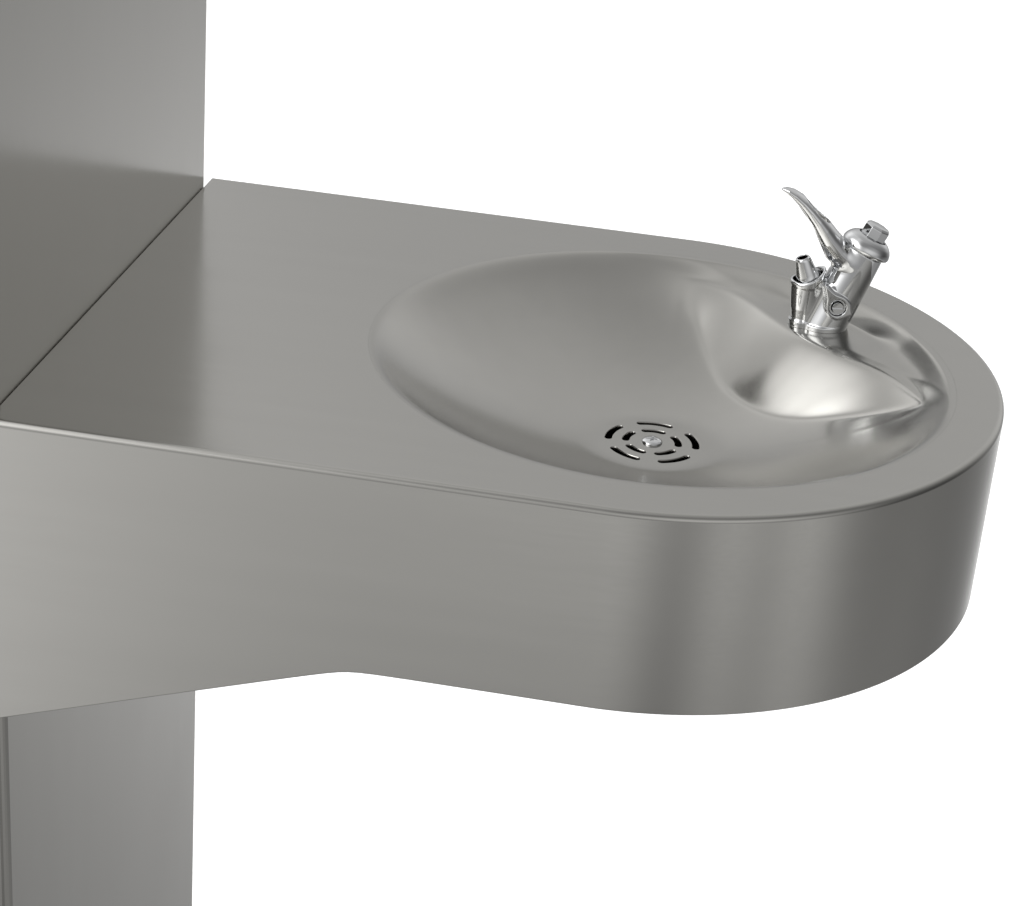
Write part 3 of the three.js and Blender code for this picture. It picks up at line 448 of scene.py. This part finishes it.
# Direction in degrees, distances from the basin centre to the lip and to the wall's foot.
SPLASH_WALL = np.array([
    (-5, 137.5, 137), (-1, 135.6, 134), (3, 132.5, 127), (7, 129, 114), (13, 123.5, 96),
    (20, 116, 79), (26, 109, 71), (32, 103.5, 66.5), (39, 99.5, 64), (47, 98, 63.3),
    (55, 100.5, 64.5), (63, 106.5, 68), (71, 116, 76), (79, 126, 91), (84, 130.5, 106),
    (88, 133.5, 117.5), (92, 135.5, 127), (96, 137, 135.5), (100, 139, 138.5)])
LEAST_WALL_SLOPE = 0.6
SEAT_R = 28.0


def bowl_table():
    """Bowl height against radius, with the slope's knots blended over a few millimetres."""
    r = np.linspace(0, BASIN_R, 1481)
    knots = np.interp(r, *BOWL_SLOPES.T)
    depth = np.sum((knots[1:] + knots[:-1]) / 2 * np.diff(r))
    kernel = np.hanning(61)
    padded = np.concatenate([knots[:1].repeat(30), knots, -knots[::-1][1:31]])
    slope = np.convolve(padded, kernel / kernel.sum(), "valid")
    height = np.concatenate([[0], np.cumsum((slope[1:] + slope[:-1]) / 2 * np.diff(r))])
    return r, height / height[-1] * depth - depth


BOWL_TABLE = bowl_table()
BOWL_BOTTOM = BOWL_TABLE[1][0]


def bowl_height(r):
    return np.interp(r, *BOWL_TABLE)


def smooth_max(a, b, k):
    return (a + b + np.sqrt((a - b) ** 2 + k * k)) / 2


def smooth_step(x, low, high):
    t = np.clip((x - low) / (high - low), 0, 1)
    return t * t * (3 - 2 * t)


def wall_radius(degrees, column):
    """Cubic curve through one column of the splash wall table, eased along its length."""
    a, r = SPLASH_WALL[:, 0], SPLASH_WALL[:, column]
    fine = np.linspace(a[0], a[-1], 841)
    i = np.clip(np.searchsorted(a, fine, side="left"), 1, len(a) - 1)
    before, after = np.maximum(i - 2, 0), np.minimum(i + 1, len(a) - 1)
    m0 = (r[i] - r[before]) / (a[i] - a[before])
    m1 = (r[after] - r[i - 1]) / (a[after] - a[i - 1])
    h = a[i] - a[i - 1]
    t = (fine - a[i - 1]) / h
    curve = ((2 * t ** 3 - 3 * t ** 2 + 1) * r[i - 1] + (t ** 3 - 2 * t ** 2 + t) * h * m0
             + (-2 * t ** 3 + 3 * t ** 2) * r[i] + (t ** 3 - t ** 2) * h * m1)
    kernel = np.hanning(49)
    eased = np.convolve(np.pad(curve, 24, "edge"), kernel / kernel.sum(), "valid")
    return np.interp(degrees, fine, eased)


def basin_height(r, degrees):
    bowl = bowl_height(r)
    lip, foot = wall_radius(degrees, 1), wall_radius(degrees, 2)
    wide = np.maximum(lip - foot, 0.1)
    drop = np.maximum(-SHELF_DROP - bowl_height(foot), LEAST_WALL_SLOPE * wide)
    beyond = r - lip
    down = (np.sqrt(beyond ** 2 + LIP_ROUND ** 2) - beyond) / 2 / wide
    bulge = np.where(down < 1, np.minimum(down, 1) ** WALL_BULGE, 1 + WALL_BULGE * (down - 1))
    wall = -SHELF_DROP - drop * bulge
    by_bubbler = smooth_step(np.abs(degrees - math.degrees(BUBBLER_ANGLE)), 10, 22)
    shelf_round = SEAT_ROUND + (SHELF_ROUND - SEAT_ROUND) * by_bubbler
    blend = FOOT_ROUND + (shelf_round - FOOT_ROUND) * smooth_step(beyond, 0, 10)
    shaped = smooth_max(bowl, wall, blend)
    first, last = SPLASH_WALL[0, 0], SPLASH_WALL[-1, 0]
    within = smooth_step(degrees, first - 8, first) * (1 - smooth_step(degrees, last, last + 8))
    return np.minimum(0, bowl + (shaped - bowl) * within)


def arc_slot(r, span, middle, half):
    a0, a1 = math.radians(middle - span / 2), math.radians(middle + span / 2)
    loop = []

    def arc(cx, cy, radius, start, end, steps):
        for a in np.linspace(start, end, steps):
            loop.append((cx + radius * math.cos(a), cy + radius * math.sin(a)))

    arc(0, 0, r + half, a0, a1, 16)
    arc(r * math.cos(a1), r * math.sin(a1), half, a1, a1 + math.pi, 10)
    arc(0, 0, r - half, a1, a0, 14)
    arc(r * math.cos(a0), r * math.sin(a0), half, a0 + math.pi, a0 + 2 * math.pi, 10)
    kept = []
    for p in loop:
        if not kept or math.dist(p, kept[-1]) > 0.05:
            kept.append(p)
    return kept[:-1] if math.dist(kept[0], kept[-1]) < 0.05 else kept


SLOT_HALF = 1.7
SLOT_EDGE = 0.35
SCREW_HOLE_R = 2.4
# Strainer slots as radius, span and middle direction in degrees.
SLOTS = [(r, span, 20.5 + 72 * i) for r, span in ((22.6, 38), (13.6, 37)) for i in range(5)]


def build_basin():
    around = 384
    radii = np.concatenate([np.linspace(SEAT_R, 60, 22), np.linspace(60, 138, 96)[1:],
                            np.linspace(138, BASIN_R, 26)[1:]])
    angle = np.arange(around) * 360.0 / around
    signed = np.where(angle > 180, angle - 360, angle)
    rr, aa = np.meshgrid(radii, signed, indexing="ij")
    z = basin_height(rr, aa)
    z[-1] = 0
    z[0] = BOWL_BOTTOM
    x, y = rr * np.cos(np.radians(aa)), rr * np.sin(np.radians(aa))
    verts = np.stack([x, y, z], -1).reshape(-1, 3).tolist()
    faces = [f[::-1] for f in grid_faces(len(radii), around)]
    seat = [(SEAT_R * math.cos(math.radians(a)), SEAT_R * math.sin(math.radians(a)))
            for a in signed]
    screw = [(SCREW_HOLE_R * math.cos(a), SCREW_HOLE_R * math.sin(a))
             for a in np.linspace(0, 2 * math.pi, 25)[:-1]]
    wide = [arc_slot(r, span + 1.4, a, SLOT_HALF + SLOT_EDGE) for r, span, a in SLOTS]
    points, flat = flat_with_holes(seat, [*wide, screw])
    start = len(verts)
    verts.extend((px, py, BOWL_BOTTOM) for px, py in points)
    faces += [[start + i for i in f] for f in flat]
    for (r, span, a), rim in zip(SLOTS, wide):
        start = len(verts)
        points = [np.array(p) for p in rim]
        centre_line = [nearest_on_arc(p, r, span, a) for p in points]
        for inset, drop in ((0, 0), (0.25, 0.06), (0.7, 0.22), (1, 0.5), (1, BOWL_SHEET)):
            for p, c in zip(points, centre_line):
                q = p + (c - p) / max(np.linalg.norm(c - p), 1e-6) * inset * SLOT_EDGE
                verts.append((q[0], q[1], BOWL_BOTTOM - drop))
        faces += [f[::-1] for f in grid_faces(5, len(points), offset=start)][::-1]
    obj = new_object("basin", verts, faces)
    weld(obj, 0.02)
    sharpen(obj, 60)
    obj.data.transform(at(BASIN_X, 0, DECK_Z))
    return dress(obj, "frame", satin_bowl, "satin_steel", "basin_bowl")


def nearest_on_arc(p, r, span, middle):
    a = math.degrees(math.atan2(p[1], p[0]))
    d = (a - middle + 180) % 360 - 180
    a = math.radians(middle + max(-span / 2, min(span / 2, d)))
    return np.array([r * math.cos(a), r * math.sin(a)])


def weld(obj, distance_mm):
    bm = bmesh.new()
    bm.from_mesh(obj.data)
    bmesh.ops.remove_doubles(bm, verts=bm.verts, dist=distance_mm * MM)
    bm.to_mesh(obj.data)
    bm.free()


build_arm()
build_basin()


def cross_head(name, radius, crown):
    """Screw head with a cross recess, its seat at z = 0."""
    around = 96
    radii = np.concatenate([np.linspace(0, 3.4, 26)[1:], np.linspace(3.4, radius, 14)[1:]])
    rr, aa = np.meshgrid(radii, np.arange(around) * 2 * math.pi / around, indexing="ij")
    x, y = rr * np.cos(aa), rr * np.sin(aa)
    arm_wide = np.minimum(np.abs(x), np.abs(y)) - 0.62
    arm_long = np.maximum(np.abs(x), np.abs(y)) - 2.9
    recess = 1 - smooth_step(np.maximum(arm_wide, arm_long), -0.25, 0.2)
    z = crown * np.sqrt(np.maximum(1 - (rr / radius) ** 2.6, 0)) + 0.35 - 1.3 * recess
    verts = [(0, 0, crown + 0.35 - 1.3), *np.stack([x, y, z], -1).reshape(-1, 3).tolist()]
    faces = [(0, 1 + k, 1 + (k + 1) % around) for k in range(around)]
    faces += [f[::-1] for f in grid_faces(len(radii), around, offset=1)]
    start = len(verts)
    verts.extend((px, py, -0.2) for px, py in zip(x[-1], y[-1]))
    last = start - around
    faces += [(last + k, start + k, start + (k + 1) % around, last + (k + 1) % around)
              for k in range(around)]
    obj = new_object(name, verts, faces)
    sharpen(obj, 40)
    return obj


screw_head = cross_head("drain_screw", 5.4, 1.7)


# ---------------------------------------------------------------- implicit solids
def surface_nets(field, low, step):
    """Dual mesh of field < 0 on a regular grid: vertices near the surface, quads across edges."""
    inside_ = field < 0
    nx, ny, nz = field.shape
    total = np.zeros((nx - 1, ny - 1, nz - 1), np.int8)
    for dx in (0, 1):
        for dy in (0, 1):
            for dz in (0, 1):
                total += inside_[dx:nx - 1 + dx, dy:ny - 1 + dy, dz:nz - 1 + dz]
    cells = (total > 0) & (total < 8)
    index = -np.ones(cells.shape, np.int64)
    where = np.argwhere(cells)
    index[cells] = np.arange(len(where))
    verts = low + (where + 0.5) * step
    faces = []
    for axis in range(3):
        a = np.take(inside_, range(field.shape[axis] - 1), axis)
        b = np.take(inside_, range(1, field.shape[axis]), axis)
        crossing = np.argwhere(a != b)
        starts_in = a[tuple(crossing.T)]
        u, v = (axis + 1) % 3, (axis + 2) % 3
        ok = (crossing[:, u] > 0) & (crossing[:, v] > 0)
        for d in (u, v):
            ok &= crossing[:, d] < field.shape[d] - 1
        crossing, starts_in = crossing[ok], starts_in[ok]
        quad = []
        for du, dv in ((-1, -1), (0, -1), (0, 0), (-1, 0)):
            c = crossing.copy()
            c[:, u] += du
            c[:, v] += dv
            quad.append(index[tuple(c.T)])
        quad = np.stack(quad, 1)
        quad[~starts_in] = quad[~starts_in][:, ::-1]
        faces.append(quad)
    return verts, np.concatenate(faces)


def settle(points, distance, rounds=5):
    """Moves points onto distance = 0 and returns them with the unit gradients there."""
    h = 0.05
    for step in range(rounds + 1):
        grad = np.stack([
            (distance(points + d) - distance(points - d)) / (2 * h)
            for d in np.eye(3) * h], -1)
        norm = np.linalg.norm(grad, axis=1, keepdims=True)
        if step == rounds:
            break
        move = distance(points)[:, None] * grad / np.maximum(norm ** 2, 0.1)
        points = points - np.clip(move, -0.4, 0.4)
    return points, grad / np.maximum(norm, 1e-6)


def union(a, b, k):
    h = np.clip(0.5 + 0.5 * (b - a) / k, 0, 1)
    return b + (a - b) * h - k * h * (1 - h)


def meet(a, b, k):
    return -union(-a, -b, k)


def carve(a, b, k):
    return -union(-a, b, k)


def capsule_z(p, x, y, r, z0, z1, soft):
    """Upright round bar with softened ends."""
    d = np.hypot(p[:, 0] - x, p[:, 1] - y) - r
    return meet(d, np.abs(p[:, 2] - (z0 + z1) / 2) - (z1 - z0) / 2, soft)


# Height and radius of the spout cup from its foot to its bead.
CUP_RADIUS = np.array([
    (0, 7.5), (3, 7.5), (4.5, 6.5), (7.5, 6.9), (10, 7.4), (22, 8.7), (23.4, 9.15), (40, 9.3)])


def cup_distance(p):
    """Spout cup with its rim rising towards the barrel."""
    x, y, z = p.T
    d = np.hypot(x - CUP_X, y) - np.interp(z, *CUP_RADIUS.T)
    rise = np.clip((x - CUP_X + 5) / 14, 0, 1)
    rim = CUP_TOP + 7.5 * rise ** 1.5
    return meet(d, (z - rim) * 0.85, 1.2)


def barrel_distance(p):
    foot, top = np.array([1.0, 0, 2.0]), BARREL_TOP
    t = np.clip((p[:, 2] - 2) / 41, -0.3, 1.3)
    for _ in range(5):
        centre = foot + (top - foot) * t[:, None]
        lean = BARREL_LEAN * t
        off = ((p[:, 0] - centre[:, 0]) * np.sin(lean) + (p[:, 2] - centre[:, 2]) * np.cos(lean))
        t = t + off / 44
    centre = foot + (top - foot) * t[:, None]
    d = np.linalg.norm(p - centre, axis=1) - (13 - 1.8 * np.clip(t, -0.2, 1.2))
    end = (p - top) @ np.array([math.sin(BARREL_LEAN), 0, math.cos(BARREL_LEAN)])
    return meet(d, end, 1.0)


# Spine of the mouth guard: x, z, half width, half thickness.
HOOD = np.array([
    (-31.0, 75.3, 1.4, 0.8), (-28.5, 74.7, 3.8, 1.6), (-25.0, 73.0, 6.0, 2.3),
    (-20.5, 69.6, 8.1, 3.1), (-16.0, 65.2, 9.6, 3.9), (-11.8, 60.4, 10.4, 4.7),
    (-7.8, 55.2, 10.6, 5.6), (-3.6, 49.4, 10.4, 6.4), (2.0, 43.0, 9.8, 7.0),
    (8.0, 38.0, 9.2, 7.0)])


def polygon_distance(x, z, loop):
    best = np.full(x.shape, 1e9)
    sign = np.ones(x.shape)
    for (x0, z0), (x1, z1) in zip(loop, np.roll(loop, -1, axis=0)):
        ex, ez = x1 - x0, z1 - z0
        wx, wz = x - x0, z - z0
        t = np.clip((wx * ex + wz * ez) / (ex * ex + ez * ez), 0, 1)
        best = np.minimum(best, (wx - ex * t) ** 2 + (wz - ez * t) ** 2)
        c1, c2, c3 = z >= z0, z < z1, ex * wz > ez * wx
        flip = (c1 & c2 & c3) | (~c1 & ~c2 & ~c3)
        sign[flip] *= -1
    return sign * np.sqrt(best)


def hood_distance(p):
    """Mouth guard: a leaf that widens and thickens along its spine down to the barrel."""
    x, y, z = p.T
    best = np.full(x.shape, 1e9)
    width = np.ones(x.shape)
    thick = np.ones(x.shape)
    for (x0, z0, w0, h0), (x1, z1, w1, h1) in zip(HOOD, HOOD[1:]):
        ex, ez = x1 - x0, z1 - z0
        t = np.clip(((x - x0) * ex + (z - z0) * ez) / (ex * ex + ez * ez), 0, 1)
        off = np.hypot(x - x0 - ex * t, z - z0 - ez * t)
        nearer = off < best
        best = np.where(nearer, off, best)
        width = np.where(nearer, w0 + (w1 - w0) * t, width)
        thick = np.where(nearer, h0 + (h1 - h0) * t, thick)
    section = np.sqrt((best / thick) ** 2 + np.abs(y / width) ** 2)
    return (section - 1) * thick * 0.9


REGULATOR = (3.5, 15.0)
REGULATOR_SEAT_R = 4.6
REGULATOR_BORE_R = 3.3
BARREL_BORE_R = 7.0
CUP_POCKET_R = 7.6


def regulator_distance(p):
    """Raised ring round the regulator, run out into a teardrop ledge."""
    x, y, z = p.T
    ring = np.hypot(x - REGULATOR[0], z - REGULATOR[1]) - 6.2
    tail = polygon_distance(x, z, np.array([(-2.0, 17.0), (-5.5, 28), (3.0, 21.2), (9.7, 16.5),
                                            (12, 11), (4, 9)]))
    plan = union(ring, tail, 3.0)
    return meet(plan, np.abs(y + 8.6) - 5.4, 0.9)


def bubbler_distance(p):
    d = union(barrel_distance(p), hood_distance(p), 2.5)
    web = meet(np.abs(p[:, 1]) - 7.4, np.abs(p[:, 0] + 3) - 9, 1.0)
    web = meet(web, p[:, 2] - 25, 1.5)
    d = union(d, web, 2.5)
    d = union(d, cup_distance(p), 1.2)
    d = union(d, capsule_z(p, 0, 0, 13.3, -5, 2.6, 0.8), 1.0)
    d = union(d, regulator_distance(p), 0.9)
    hole = np.hypot(p[:, 0] - REGULATOR[0], p[:, 2] - REGULATOR[1])
    recess = meet(hole - REGULATOR_SEAT_R, p[:, 1] + 12.4, 0.4)
    bore = meet(hole - REGULATOR_BORE_R, p[:, 1] + 8.5, 0.4)
    d = carve(carve(d, recess, 0.8), bore, 0.3)
    axis = np.array([math.sin(BARREL_LEAN), 0, math.cos(BARREL_LEAN)])
    along = (p - BARREL_TOP) @ axis
    away = np.linalg.norm((p - BARREL_TOP) - along[:, None] * axis, axis=1)
    d = carve(d, meet(away - BARREL_BORE_R, -22.3 - along, 0.3), 0.4)
    pocket = np.hypot(p[:, 0] - CUP_X, p[:, 1]) - CUP_POCKET_R
    d = carve(d, meet(pocket, CUP_TOP - 6 - p[:, 2], 0.8), 0.7)
    return meet(d, -0.3 - p[:, 2], 0.2)


def build_bubbler():
    step = 0.55
    low, high = np.array([-36.0, -17.0, -1.1]), np.array([31.0, 16.5, 79.0])
    axes = [np.arange(a, b, step) for a, b in zip(low, high)]
    grid = np.stack(np.meshgrid(*axes, indexing="ij"), -1)
    shape = grid.shape[:3]
    flat = grid.reshape(-1, 3)
    field = np.concatenate([bubbler_distance(flat[i:i + 400000])
                            for i in range(0, len(flat), 400000)]).reshape(shape)
    verts, faces = surface_nets(field, low, step)
    verts, normals = settle(verts, bubbler_distance)
    obj = new_object("bubbler", verts, faces, normals)
    obj.data.transform(on_shelf())
    return dress(obj, "frame", chrome, "chrome", "bubbler_body")


build_bubbler()
nozzle = lathe("nozzle", [
    (0, -5.0), (6.6, -5.0), (6.7, -3.0), (6.4, 0.6), (5.9, 2.2), (4.2, 11.2), (3.7, 12.3),
    (2.9, 12.6), (2.7, 12.0), (2.7, 3.0), (0, 3.0)], 64, 0.7)
nozzle.data.transform(on_shelf(at(CUP_X, 0, CUP_TOP + 0.6, NOZZLE_LEAN)))
dress(nozzle, "frame", chrome, "chrome", "bubbler_nozzle")
bonnet = lathe("bonnet_dome", [
    (7.8, 0.3), (12.6, 0.3), (13.6, 0.9), (13.8, 2.2), (13.2, 4.2), (11.9, 6.2), (10.2, 7.7),
    (8.4, 8.7), (7.8, 8.5), (7.8, 0.3)], 96, 0.8)
bonnet.data.transform(on_barrel())
dress(bonnet, "frame", chrome, "chrome", "bonnet")
button = lathe("button_head", [
    (0, 1.7), (4.8, 1.7), (4.8, 5.0), (7.1, 5.0), (7.3, 6.0), (7.3, 14.2), (5.6, 15.5),
    (0, 15.7)], 8, 0.5)
button.data.transform(on_barrel())
bevel(button, 0.6, 3, 25)
dress(button, "button", chrome, "chrome", "push_button")

screw_head.data.transform(at(BASIN_X, 0, DECK_Z + BOWL_BOTTOM))
dress(screw_head, "frame", chrome, "chrome", "strainer_screw")

# ---------------------------------------------------------------- CAD pieces shown as they are
# The drain body takes the near-black brass, painted shade under the strainer.
own_finish = {"drain_body": painted_shade_brass}
record_slots = {s["node"]: s["material_slot"] for s in frame["record"]["subparts"]}
for name, node in frame["nodes"].items():
    if name in ("arm_shell", "basin_bowl", "bubbler_body", "bubbler_nozzle", "bonnet",
                "push_button", "strainer_screw"):
        continue
    node.data.materials.clear()
    node.data.materials.append(own_finish.get(name, by_slot[record_slots[name]]))
    sharpen(node)
    if name.startswith(("base_plate", "anchor", "access")):
        bevel(node, 0.6, 2)

# ---------------------------------------------------------------- room, light and camera
FLOOR_GLOW = 0.45
# Soft lights painted on the studio walls, in rows of one elevation and sharpness. Each light
# is an azimuth from +X and a strength.
GLOWS = [
    (8, 14, [(0, 0.04), (30, 0.04), (60, 0.66), (90, 0.20), (120, 0.18), (150, 0.04),
        (180, 0.04), (210, 0.43), (240, 0.44), (270, 0.30), (300, 0.46), (330, 0.42)]),
    (28, 14, [(15, 0.08), (45, 0.08), (75, 0.22), (105, 0.17), (135, 1.05), (165, 0.08),
        (195, 0.08), (225, 0.42), (255, 0.17), (285, 0.47), (315, 0.34), (345, 0.08)]),
    (50, 10, [(0, 0.04), (45, 0.36), (90, 0.37), (135, 0.28), (180, 0.04), (225, 0.04),
        (270, 0.04), (315, 0.04)]),
    (75, 10, [(0, 0.24), (120, 0.04), (240, 0.23)]),
    (-24, 45, [(-91, 0.57), (-79, 0.33), (-55, 0.68), (-31, 0.55), (-19, 0.15), (-7, 0.08),
        (5, 0.08), (17, 0.11), (29, 0.08), (41, 0.08), (53, 0.08), (65, 0.08), (77, 0.43),
        (89, 0.75), (101, 0.75), (113, 0.75), (125, 0.75)]),
    (-24, 18, [(150, 0.75), (180, 0.75), (210, 1.30), (235, 1.30)]),
    (-60, 8, [(-90, 0.04), (0, 0.59), (90, 0.45), (180, 0.70)]),
    (22, 45, [(190, 1.11), (210, 1.91), (230, 2.40)]),
    (36, 45, [(186, 2.03), (204, 1.39), (222, 2.08), (240, 0.89)]),
    (50, 45, [(140, 0.09), (180, 0.98), (200, 1.67), (220, 1.74)]),
    (64, 45, [(140, 0.25), (215, 0.33)]),
    (78, 45, [(180, 0.40)]),
]

bpy.ops.mesh.primitive_plane_add(size=40, location=(0, 0, 0))
floor = bpy.context.object
floor.name = "floor"
pale = Nodes("floor_pale")
pale.shader.inputs["Base Color"].default_value = (0.85, 0.85, 0.85, 1)
pale.shader.inputs["Roughness"].default_value = 0.9
pale.shader.inputs["Emission Color"].default_value = (1, 1, 1, 1)
pale.shader.inputs["Emission Strength"].default_value = FLOOR_GLOW
floor.data.materials.append(pale.material)
floor.visible_glossy = False


world = bpy.data.worlds.new("studio")
world.use_nodes = True
sky = world.node_tree
background = sky.nodes["Background"]
direction = sky.nodes.new("ShaderNodeTexCoord").outputs["Generated"]


def sky_node(kind, operation, *values):
    node = sky.nodes.new(kind)
    node.operation = operation
    for socket, value in zip(node.inputs, values):
        if isinstance(value, bpy.types.NodeSocket):
            sky.links.new(value, socket)
        else:
            socket.default_value = value
    return node.outputs["Value"]


total = None
for elevation, sharpness, row in GLOWS:
    for azimuth, strength in row:
        a, e = math.radians(azimuth), math.radians(elevation)
        towards = (math.cos(a) * math.cos(e), math.sin(a) * math.cos(e), math.sin(e))
        near = sky_node("ShaderNodeVectorMath", "DOT_PRODUCT", direction, towards)
        falloff = sky_node("ShaderNodeMath", "MULTIPLY_ADD", near, sharpness, -sharpness)
        glow = sky_node("ShaderNodeMath", "EXPONENT", falloff)
        total = sky_node("ShaderNodeMath", "MULTIPLY_ADD", glow, strength, total or 0.0)
sky.links.new(total, background.inputs["Color"])
bpy.context.scene.world = world
bpy.context.scene.view_settings.view_transform = "Standard"

# Camera without lens shift. Its place is in half widths of the arm from the deck's root.
ARM_R = ARM_HALF * MM
LENS_MM = 80.33234
SENSOR_MM = 36
YAW, PITCH, ROLL = math.radians(-7.88), math.radians(25.71), math.radians(-4.67)
CAMERA_PLACE = (2.00, -5.91, 2.50)
camera_data = bpy.data.cameras.new("camera")
camera_data.sensor_width = SENSOR_MM
camera_data.lens = LENS_MM
camera = bpy.data.objects.new("camera", camera_data)
bpy.context.scene.collection.objects.link(camera)
forward = Vector((math.sin(YAW) * math.cos(PITCH), math.cos(YAW) * math.cos(PITCH),
                  -math.sin(PITCH)))
right = Vector((math.cos(YAW), -math.sin(YAW), 0))
down = forward.cross(right)
c, s = math.cos(ROLL), math.sin(ROLL)
right, down = c * right + s * down, -s * right + c * down
camera.matrix_world = Matrix((
    (right.x, -down.x, -forward.x, CAMERA_PLACE[0] * ARM_R + ROOT_X * MM),
    (right.y, -down.y, -forward.y, CAMERA_PLACE[1] * ARM_R),
    (right.z, -down.z, -forward.z, CAMERA_PLACE[2] * ARM_R + DECK_Z * MM),
    (0, 0, 0, 1)))
bpy.context.scene.camera = camera
